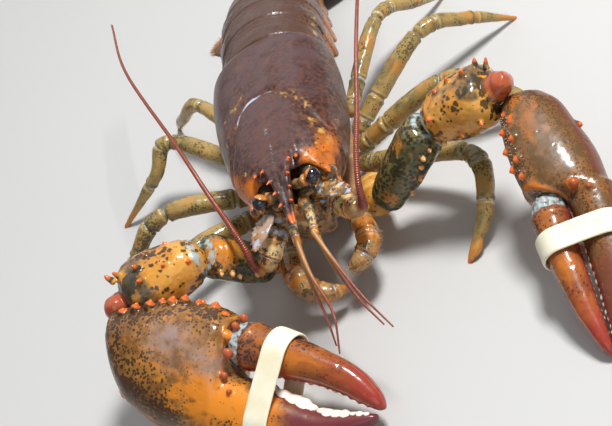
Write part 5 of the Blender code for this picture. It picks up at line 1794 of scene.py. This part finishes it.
def make_tail_ring(index):
    """One ring of the tail: a smooth front that slid under the last ring, and a rear rim."""
    shares = np.array([-0.1, 0, 0.04, 0.1, 0.2, 0.32, 0.45, 0.6, 0.75, 0.88, 0.95, 0.985, 1])
    reach = np.interp(shares, (-0.1, 0.15, 0.5, 0.72, 1), (0.35, 0.7, 1, 0.85, 0.3))
    shrink = np.interp(shares, (-0.1, 0, 0.22, 0.32, 0.6, 1), (3, 2, 1.5, 0.5, 0, 0.1))
    shrink[-2:] += (0.25, 1)
    if index == 5:
        shrink[-5:] += (0.2, 0.9, 2.4, 3.6, 4.6)
    rings = [tail_outline(index + share, r, s) for share, r, s in zip(shares, reach, shrink)]
    name = f"tail_segment_{index + 1}"
    skin = grown(name, [np.array(rings)], 0.55, 4)
    p = skin.points
    x, y, z = p.T
    share = (y - TAIL_START) / TAIL_RING_LENGTH - index
    half, _, _, under = eased(TAIL, np.clip(share + index, 0, 6)).T
    shell_side = smoothstep(-0.2, 0.3, skin.normals[:, 2]) + (z < under + 8) * (np.abs(x) > 10)
    shell_side = np.clip(shell_side, 0, 1)
    amount = (-0.45 * bump(share, 0.3, 0.035) + 0.35 * bump(share, 0.9, 0.05)) * shell_side
    amount += 0.16 * lumps(p, 4, 140 + index) + 0.08 * lumps(p, 1.5, 150 + index)
    flap = bump(np.abs(x), half.mean() - 1.5, 2)
    amount -= 0.35 * flap * bump(z, under + 4, 1.2)
    skin.push(amount)
    skin.paint(dark=0.75 * bump(share, 0.55, 0.18) * flecks(p, 5, 160 + index, 0, 0.5),
               warm=0.9 * bump(share, 0.965, 0.03) + 0.7 * (z < under + 3) * (np.abs(x) > 12),
               pale=0.7 * flecks(p, 3.6, 170 + index, 0.2, 0.8) * (z < under + 12),
               veil=0.9 * shell_side * smoothstep(under + 10, under + 19, z + 2 * lumps(p, 4, 165)),
               blue=0.45 * (share < 0))
    cover(skin, name, "shell", "tail_shell", "shell_dark")


def make_swimmeret(index, side):
    """A two-bladed paddle under the tail, fringed with bristles."""
    half, _, _, under = eased(TAIL, index + 0.5)[0]
    root = np.array((side * (half - 9.5), TAIL_START + (index + 0.5) * TAIL_RING_LENGTH, under + 2))
    middle = root + (side * 0.5, 3, -6)
    path, up = (root, middle, middle + (side * 1, 4.2, -6.2)), (0, -1, 0.4)
    table = ((0, 1.8, 1), (0.35, 1.7, 1), (0.5, 3, 0.8), (0.8, 2.8, 0.7), (1, 1, 0.5))
    inner = tube((middle + (0, 0, 1), middle + (side * -2.4, 3.6, -5.6)), 0, 1,
                 ((0, 1.4, 0.9), (0.5, 2, 0.7), (1, 0.8, 0.5)), 24, 24, up=up)
    name = f"swimmeret_{index + 1}_{WORDS[side]}"
    skin, p, _ = limb(name, path, 0, 2, table, 28, 40, 0.35, [inner], ease=2, up=up)
    skin.push(0.08 * lumps(p, 1.6, 180 + index))
    skin.paint(warm=0.7 * flecks(p, 2.5, 185, -0.1, 0.5), pale=0.6 * flecks(p, 3.5, 186, 0, 0.6))
    finish(skin, name, "mouth_shell", "shell_dark")
    places = np.linspace(1, 1.98, 14)
    line, ahead, side_way = rail(path, places, up)
    width = eased(table, places / 2)[:, :1]
    outs = (-side_way, side_way)
    fringe(name, "shell_dark", [line + out * width * 0.92 for out in outs],
           [unit(out * 0.6 + ahead) for out in outs], 0.5, 2.2, 0.1, 11)


FAN_ROOT_Y = 97.8
# root, tip, width, sag, sideways bend
FAN = {
    "telson": ((0, 0.8, 18.8), (0, 31, 0.2), 9.8, 2.4, 0),
    "fan_inner_left": ((9.5, 0.6, 13), (20.5, 31, 0.2), 9.2, 3.4, 0.5),
    "fan_inner_right": ((-9.5, 0.6, 13), (-20.5, 31, 0.2), 9.2, 3.4, -0.5),
    "fan_outer_left": ((18.2, 0.6, 9), (38.5, 22, 0.3), 9.6, 2.6, 1.4),
    "fan_outer_right": ((-18.2, 0.6, 9), (-38.5, 22, 0.3), 9.6, 2.6, -1.4),
}


def make_fan_blade(name):
    """One blade of the tail fan: ribbed, with a bristle fringe round its end."""
    root, tip, width, sag, bend = FAN[name]
    root, tip = (np.array(point, float) + (0, FAN_ROOT_Y, 0) for point in (root, tip))
    path = (root, (root + tip) / 2 + (bend, 0, -sag), tip)
    table = ((0, width * 0.34, 2), (0.25, width * 0.74, 1.9), (0.6, width, 1.6), (0.86, width * 0.92, 1.2),
             (1, width * 0.55, 0.5))
    grid = tube(path, 0, 2, table, 80, 90, power=2.4, inset=-1.2, start=1.5, end=2.4)
    skin = grown(name, [lifted(grid)], 0.45)
    p = skin.points
    places = place_on(p, path, 0, 2, 120)
    line, _, side = rail(path, places)
    across = ((p - line) * side).sum(1)
    share = places / 2
    half = eased(table, share)[:, 0]
    top = smoothstep(0, 0.4, skin.normals[:, 2])
    crest = bump(across, 0, width * 0.1) * fade(0.75, 0.95, share)
    if name == "telson":
        crest = bump(np.abs(across), width * 0.45, width * 0.1) * fade(0.7, 0.9, share)
    fan_angle = across / np.maximum(half, 1)
    ribs = 0.5 + 0.5 * np.cos(fan_angle * 17)
    amount = top * (0.45 * crest + 0.22 * ribs * smoothstep(0.55, 0.75, share))
    if name.startswith("fan_outer"):
        seam = bump(share, 0.68 + 0.05 * np.cos(fan_angle * 3), 0.014)
        amount -= 0.5 * top * seam
        skin.paint(blue=0.35 * seam, warm=0.7 * bump(share, 0.655, 0.02) * top)
    amount += 0.14 * lumps(p, 3, 191) + 0.07 * lumps(p, 1.2, 192)
    skin.push(amount)
    skin.rest()
    skin.paint(warm=0.85 * smoothstep(0.78, 0.95, share) + 0.5 * smoothstep(0.85, 1, np.abs(fan_angle)),
               dark=0.6 * flecks(p, 4.5, 193, 0.1, 0.6) * fade(0.6, 0.8, share),
               pale=0.5 * flecks(p, 3, 194, 0.2, 0.8),
               veil=0.8 * fade(0.45, 0.8, share + 0.1 * lumps(p, 3, 195)))
    cover(skin, name, "blade", "tail_shell", "shell_dark")
    turn = np.linspace(-0.5 * np.pi, 0.5 * np.pi, 40)
    end_place = 2 - 0.42 * (1 - np.cos(turn)) - 0.02
    line, ahead, side = rail(path, end_place)
    half = eased(table, end_place / 2)[:, 0]
    reach = np.sign(np.sin(turn)) * np.minimum(np.abs(np.sin(turn)) * width, half * 0.97)
    edge = lifted(line + side * reach[:, None], 0.35)
    lean = unit(ahead * 0.9 + side * np.sin(turn)[:, None] * 0.9) * (1, 1, 0) + (0, 0, 0.12)
    fringe(name, "shell_dark", [edge, edge + (0, 0, 0.3)], [unit(lean)] * 2, 0.34, sizes().bristle / MM,
           0.12, 13)


# --- stage ---

CAMERA_BACK, CAMERA_UP = (0.208, -0.81, 0.548), (0.452, 0.576, 0.681)
CAMERA_AIM, CAMERA_DISTANCE = (0, -95, 50), 744.8
AIM_PIXEL, PICTURE = (288.4, 192.3), (612, 426)
FOCAL_PIXELS, SENSOR = 2000, 36


def make_camera():
    """The camera, aimed so that the middle of the breast falls where it does in the picture."""
    back = unit(CAMERA_BACK)
    up = unit(np.array(CAMERA_UP) - back * (back @ np.array(CAMERA_UP)))
    data = bpy.data.cameras.new("camera")
    data.type = "PERSP"
    data.sensor_fit = "HORIZONTAL"
    data.sensor_width = SENSOR
    data.lens = SENSOR * FOCAL_PIXELS / PICTURE[0]
    data.clip_start, data.clip_end = 0.05, 50
    data.shift_x = (PICTURE[0] / 2 - AIM_PIXEL[0]) / PICTURE[0]
    data.shift_y = (AIM_PIXEL[1] - PICTURE[1] / 2) / PICTURE[0]
    camera = linked("camera", data)
    where = placed(np.array(CAMERA_AIM) + back * CAMERA_DISTANCE)
    axes = np.column_stack((np.cross(up, back), up, back))
    camera.matrix_world = Matrix.Translation(where.tolist()) @ Matrix(axes.tolist()).to_4x4()
    bpy.context.scene.camera = camera


# name, direction it stands in, distance, width, height, power
LAMPS = (
    ("overhead", (0.46, 0.06, 0.88), 1.3, 0.34, 0.24, 22),
    ("behind", (-0.25, 0.72, 0.66), 1.5, 2.2, 1.6, 6), ("front_fill", (0.1, -0.86, 0.5), 1.8, 1.4, 1, 5.5),
)
LAMP_AIM = (0, -95, 30)
SKY, SKY_STRENGTH = (0.92, 0.95, 1, 1), 0.21


def make_lights():
    """Soft studio light: a softbox overhead, one behind, a wide fill in front, a pale world."""
    for name, direction, distance, width, height, power in LAMPS:
        data = bpy.data.lights.new(name, "AREA")
        data.shape = "RECTANGLE"
        data.size, data.size_y = width, height
        data.energy = power
        lamp = linked(name, data)
        away = Vector(direction).normalized()
        lamp.location = Vector(placed(LAMP_AIM).tolist()) + away * distance
        lamp.rotation_euler = away.to_track_quat("Z", "Y").to_euler()
    world = bpy.data.worlds.new("studio")
    world.use_nodes = True
    background = world.node_tree.nodes["Background"].inputs
    background["Color"].default_value = SKY
    background["Strength"].default_value = SKY_STRENGTH
    bpy.context.scene.world = world
    bpy.context.scene.view_settings.view_transform = "Standard"


def make_floor():
    half = sizes().floor / 2
    corners = [(-half, -half, 0), (half, -half, 0), (half, half, 0), (-half, half, 0)]
    floor = mesh_object("floor", corners, [], [(0, 1, 2, 3)])
    floor.data.materials.append(material("pale_floor"))


# --- the add-on ---

def built(*pieces):
    """Makes each piece, given as its maker and what the maker needs; a failure stops it all."""
    for maker, *needs in pieces:
        maker(*needs)
    return {"FINISHED"}


def both_sides(*makers):
    return [(maker, side) for side in SIDES for maker in makers]


class LOBSTER_OT_stage(bpy.types.Operator):
    """Add the camera, the lights and the pale floor"""
    bl_idname = "lobster.stage"
    bl_label = "Stage"
    bl_options = {"REGISTER", "UNDO"}

    def execute(self, context):
        return built((make_camera,), (make_lights,), (make_floor,))


class LOBSTER_OT_carapace(bpy.types.Operator):
    """Add the shield over head and breast, with its beak and spines"""
    bl_idname = "lobster.carapace"
    bl_label = "Carapace"
    bl_options = {"REGISTER", "UNDO"}

    def execute(self, context):
        return built((make_carapace,))


class LOBSTER_OT_mouth(bpy.types.Operator):
    """Add the breast plates, the face and the mouth legs"""
    bl_idname = "lobster.mouth"
    bl_label = "Breast and mouth"
    bl_options = {"REGISTER", "UNDO"}

    def execute(self, context):
        return built((make_breast,), (make_face,), *both_sides(make_mouth_leg))


class LOBSTER_OT_eyes(bpy.types.Operator):
    """Add the stalked eyes"""
    bl_idname = "lobster.eyes"
    bl_label = "Eyes"
    bl_options = {"REGISTER", "UNDO"}

    def execute(self, context):
        return built(*both_sides(make_eye))


class LOBSTER_OT_feelers(bpy.types.Operator):
    """Add the two long feelers and the two forked ones"""
    bl_idname = "lobster.feelers"
    bl_label = "Feelers"
    bl_options = {"REGISTER", "UNDO"}

    def execute(self, context):
        return built(*both_sides(make_antenna, make_antennule))


class LOBSTER_OT_claws(bpy.types.Operator):
    """Add the crusher and the cutter: palms, thumbs and pearly beads"""
    bl_idname = "lobster.claws"
    bl_label = "Claws"
    bl_options = {"REGISTER", "UNDO"}

    def execute(self, context):
        return built(*both_sides(make_palm, make_thumb), (cutter_pearls,))


class LOBSTER_OT_bands(bpy.types.Operator):
    """Add the rubber band round each claw's fingers"""
    bl_idname = "lobster.bands"
    bl_label = "Rubber bands"
    bl_options = {"REGISTER", "UNDO"}

    def execute(self, context):
        return built(*both_sides(make_band))


class LOBSTER_OT_arms(bpy.types.Operator):
    """Add the hips, upper arms and wrists of the great claws"""
    bl_idname = "lobster.arms"
    bl_label = "Arms"
    bl_options = {"REGISTER", "UNDO"}

    def execute(self, context):
        return built(*both_sides(make_hip, make_merus, make_carpus))


class LOBSTER_OT_legs(bpy.types.Operator):
    """Add the eight walking legs"""
    bl_idname = "lobster.legs"
    bl_label = "Walking legs"
    bl_options = {"REGISTER", "UNDO"}

    def execute(self, context):
        return built(*((make_leg, side, index) for index in range(4) for side in SIDES))


class LOBSTER_OT_tail(bpy.types.Operator):
    """Add the six rings of the tail and the paddles under them"""
    bl_idname = "lobster.tail"
    bl_label = "Tail"
    bl_options = {"REGISTER", "UNDO"}

    def execute(self, context):
        rings = [(make_tail_ring, index) for index in range(6)]
        paddles = [(make_swimmeret, index, side) for index in range(1, 5) for side in SIDES]
        return built(*rings, *paddles)


class LOBSTER_OT_fan(bpy.types.Operator):
    """Add the five blades of the tail fan with their bristles"""
    bl_idname = "lobster.fan"
    bl_label = "Tail fan"
    bl_options = {"REGISTER", "UNDO"}

    def execute(self, context):
        return built(*((make_fan_blade, name) for name in FAN))


OPERATORS = (
    LOBSTER_OT_stage, LOBSTER_OT_carapace, LOBSTER_OT_mouth, LOBSTER_OT_eyes, LOBSTER_OT_feelers,
    LOBSTER_OT_claws, LOBSTER_OT_bands, LOBSTER_OT_arms, LOBSTER_OT_legs, LOBSTER_OT_tail, LOBSTER_OT_fan,
)


class LOBSTER_PT_pieces(bpy.types.Panel):
    """Sizes, colours and a button for each group of pieces"""
    bl_idname = "LOBSTER_PT_pieces"
    bl_label = "American lobster"
    bl_space_type = "VIEW_3D"
    bl_region_type = "UI"
    bl_category = "Lobster"

    def draw(self, context):
        for settings in (context.scene.lobster_sizes, context.scene.lobster_colours):
            column = self.layout.column(align=True)
            for name in settings.bl_rna.properties.keys():
                if name not in ("rna_type", "name"):
                    column.prop(settings, name)
        column = self.layout.column(align=True)
        for operator in OPERATORS:
            column.operator(operator.bl_idname)


CLASSES = (LobsterSizes, LobsterColours, *OPERATORS, LOBSTER_PT_pieces)


def register():
    for cls in CLASSES:
        bpy.utils.register_class(cls)
    bpy.types.Scene.lobster_sizes = bpy.props.PointerProperty(type=LobsterSizes)
    bpy.types.Scene.lobster_colours = bpy.props.PointerProperty(type=LobsterColours)


def unregister():
    del bpy.types.Scene.lobster_colours
    del bpy.types.Scene.lobster_sizes
    for cls in reversed(CLASSES):
        bpy.utils.unregister_class(cls)


def main():
    register()
    for operator in OPERATORS:
        group, name = operator.bl_idname.split(".")
        getattr(getattr(bpy.ops, group), name)()


if __name__ == "__main__":
    main()
